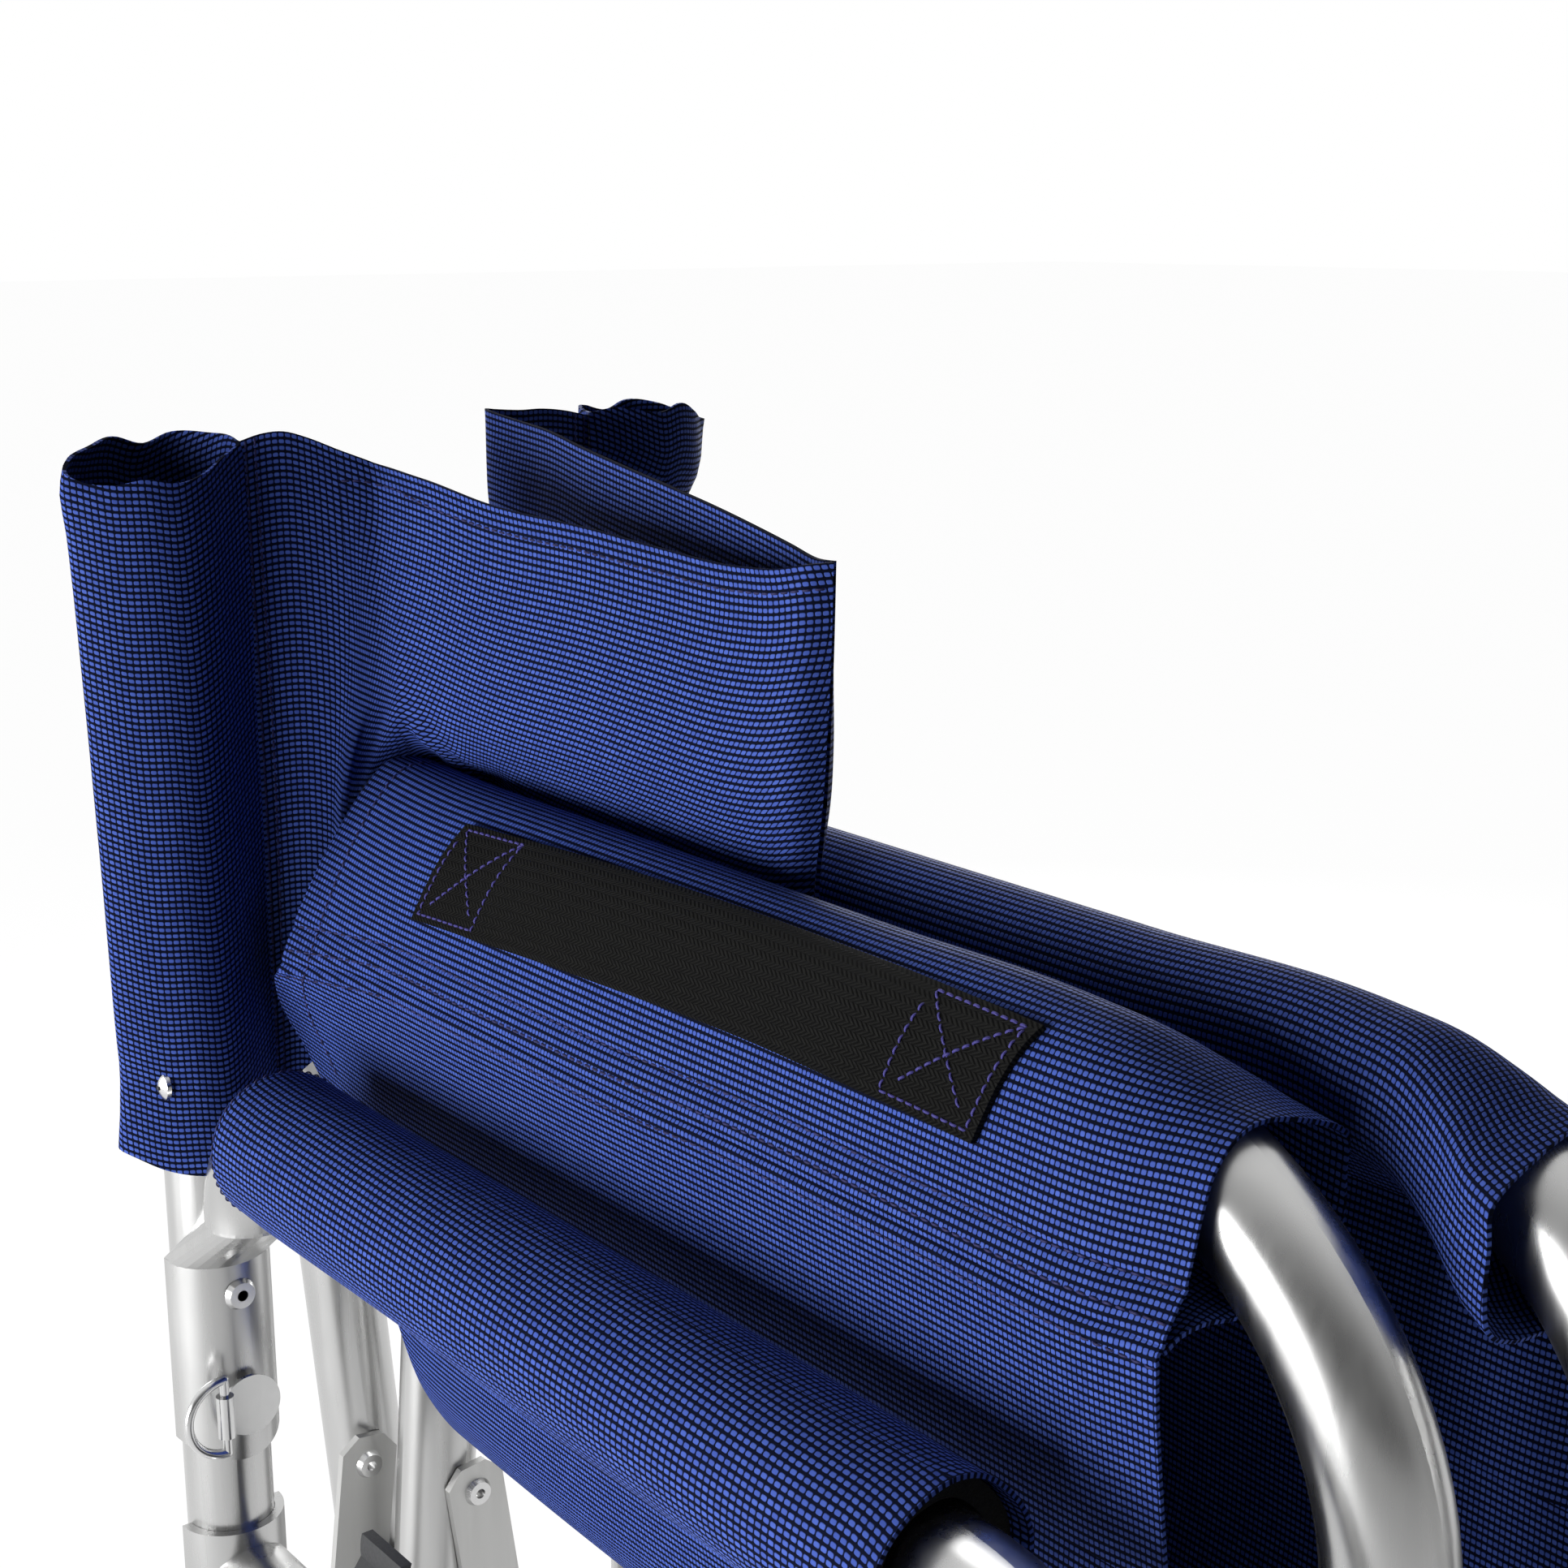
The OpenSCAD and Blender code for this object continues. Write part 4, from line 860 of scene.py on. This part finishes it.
for side, sign in SIDES:
    phase = 0.3 if sign > 0 else 1.9
    cover = mirrored_ring(pad_grid(phase, **COVER_SHAPE), sign)
    obj = grid_mesh(side + "_pad_cover", cover, CLOTH, closed=True, zero=(18, 30), inward=1.0, run=0.86, lying=True)
    foam = mirrored_ring(pad_grid(phase, **FOAM_SHAPE), sign)
    core = grid_mesh(side + "_pad_foam", foam, FOAM, thick=FOAM_THICK, closed=True, inward=1.0)
    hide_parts(side + "_arm_cover")
    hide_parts(side + "_arm_foam")
    ride_with(obj, side + "_frame")
    ride_with(core, side + "_frame")
    n = normals(cover, (0, 20), 2, 1)
    ring = cover.shape[1] - PAD_END_ROW
    path = np.concatenate([cover[:, ring], cover[:1, ring]])
    outward = np.concatenate([n[:, ring], n[:1, ring]])
    row = stitch_row(side + "_pad_end_row", path + outward * ON_PAD, outward, THREAD, pitch=3.0)
    ride_with(row, side + "_frame")


# ---- cross recess of the sling screws ----
RECESS_LONG, RECESS_WIDE = 2.1, 0.5          # half the length and width of the cross's arms
RECESS_DEPTHS = (-0.12, 0.9)                 # from just proud of the head to inside it
BOX_FACES = ((0, 1, 2, 3), (7, 6, 5, 4), (0, 4, 5, 1), (1, 5, 6, 2), (2, 6, 7, 3), (3, 7, 4, 0))
for side, sign in SIDES:
    low_x, high_x, y, z = screw_at(side)
    face = low_x if sign > 0 else high_x
    verts, faces = [], []
    for h, w in ((RECESS_LONG, RECESS_WIDE), (RECESS_WIDE, RECESS_LONG)):
        base = len(verts)
        for depth in RECESS_DEPTHS:
            for a, b in ((-h, -w), (h, -w), (h, w), (-h, w)):
                verts.append((face + sign * depth * MM, y + a * MM, z + b * MM))
        faces += [tuple(base + k for k in corners_of) for corners_of in BOX_FACES]
    mesh = bpy.data.meshes.new(side + "_screw_recess")
    mesh.from_pydata(verts, [], faces)
    mesh.materials.append(RECESS)
    ride_with(link(mesh, side + "_screw_recess"), side + "_frame")


# ---- floor, world and lamps ----
FLOOR_HALF = 30
FLOOR_SHOWN, FLOOR_GLOW = 0.93, 1.05         # share of plain white over the lit floor, which keeps the shadow
FLOOR_BACK, WORLD_BACK = (0.5, 0.866, 0), (0.45, 0.78, 0.43)            # away from the side the chair is seen from
AMBIENT = 0.04
floor_mesh = bpy.data.meshes.new("floor")
floor_mesh.from_pydata([(a * FLOOR_HALF, b * FLOOR_HALF, 0) for a, b in ((-1, -1), (1, -1), (1, 1), (-1, 1))],
                       [], [(0, 1, 2, 3)])
floor = link(floor_mesh, "floor")
f = Nodes("pale_floor")
f.set(Base_Color=(0.92, 0.92, 0.92), Roughness=0.9, Specular_IOR_Level=0.0)
path_info = f.add("ShaderNodeLightPath")
glow = f.add("ShaderNodeEmission")
glow.inputs["Color"].default_value = (1, 1, 1, 1)
glow.inputs["Strength"].default_value = FLOOR_GLOW
blend = f.add("ShaderNodeMixShader")
out = f.tree.nodes["Material Output"]
ground = f.add("ShaderNodeVectorMath", operation="DOT_PRODUCT")
f.wire(f.add("ShaderNodeTexCoord").outputs["Object"], ground.inputs[0])
ground.inputs[1].default_value = FLOOR_BACK
behind = f.span(ground.outputs["Value"], -1.6, 0.5, 0.5, 1.0)       # a darker room in front, as in the world
mirrored_ray = f.math("MAXIMUM", path_info.outputs["Is Glossy Ray"], path_info.outputs["Is Transmission Ray"])
seen = f.math("MAXIMUM", path_info.outputs["Is Camera Ray"], f.math("MULTIPLY", behind, mirrored_ray))
f.wire(f.math("MULTIPLY", seen, FLOOR_SHOWN), blend.inputs[0])
f.wire(f.shader.outputs[0], blend.inputs[1])
f.wire(glow.outputs[0], blend.inputs[2])
f.wire(blend.outputs[0], out.inputs["Surface"])
floor_mesh.materials.append(f.material)

world = bpy.data.worlds.new("studio")
bpy.context.scene.world = world
world.use_nodes = True


class WorldNodes(Nodes):
    """The same short ways for the world's nodes."""

    def __init__(self, tree):
        self.tree = tree
        self.shader = tree.nodes["Background"]


w = WorldNodes(world.node_tree)
rays = w.add("ShaderNodeLightPath")
# metal sees a white backdrop behind and above the chair and a darker room on the side it is looked at from
heading = w.add("ShaderNodeVectorMath", operation="DOT_PRODUCT")
w.wire(w.add("ShaderNodeTexCoord").outputs["Generated"], heading.inputs[0])
heading.inputs[1].default_value = WORLD_BACK
room = w.span(heading.outputs["Value"], -0.75, 0.35, 0.16, 1.0)
glossy = w.math("MULTIPLY", rays.outputs["Is Glossy Ray"], room)
plain = w.math("MAXIMUM", rays.outputs["Is Camera Ray"], rays.outputs["Is Transmission Ray"])
w.wire(w.math("MAXIMUM", AMBIENT, w.math("MAXIMUM", plain, glossy)), w.shader.inputs["Strength"])
w.shader.inputs["Color"].default_value = (1, 1, 1, 1)


def lamp(name, at, aim, size, watts):
    """A soft rectangular lamp aimed at a place."""
    data = bpy.data.lights.new(name, "AREA")
    data.shape = "RECTANGLE"
    data.size, data.size_y = size
    data.energy = watts
    obj = bpy.data.objects.new(name, data)
    obj.location = at
    obj.rotation_euler = (Vector(aim) - Vector(at)).to_track_quat("-Z", "Y").to_euler()
    bpy.context.scene.collection.objects.link(obj)


lamp("key_left", (-1.6, 0.25, 0.58), (0, 0, 0.62), (1.2, 0.8), 33)
lamp("top_soft", (0.6, 0.9, 2.3), (0, 0, 0.6), (1.3, 1.3), 14)
lamp("rear_fill", (1.6, 1.6, 1.0), (0, 0, 0.5), (1.2, 1.2), 18)
bpy.context.scene.view_settings.view_transform = "Standard"

# ---- where each image point shows ----
bpy.context.view_layer.update()


def image_points_of(*names):
    """Every vertex of some pieces as an image point."""
    found = []
    for name in names:
        obj = bpy.data.objects[name]
        found += [project(obj.matrix_world @ v.co) for v in obj.data.vertices]
    return np.array(found)


def nearest_gap(key, name):
    """Works out the offsets in the image from a point to every vertex of a piece; nothing is kept or reported."""
    gap = image_points_of(name) - np.array(POINTS[key])


back_points = image_points_of(*(s + piece for piece in ("_back_sling_sleeve", "_back_sling_outer") for s, _ in SIDES))
far = image_points_of("right_back_sling_sleeve")
back_grids("left")[1][-1, 0] * MM
for point, piece in (("near_sleeve_top_right", "left_back_sling_outer"),
                     ("far_sleeve_rim_top", "right_seat_sling_upper"),
                     *((corner, "left_handle_webbing") for corner in HANDLE_CORNERS),
                     ("upper_rivet", "left_frame_rivets"), ("lower_rivet", "left_frame_rivets"),
                     ("bar_rivet", "left_link_rivet"), ("pad_rim_right", "left_pad_cover")):
    nearest_gap(point, piece)
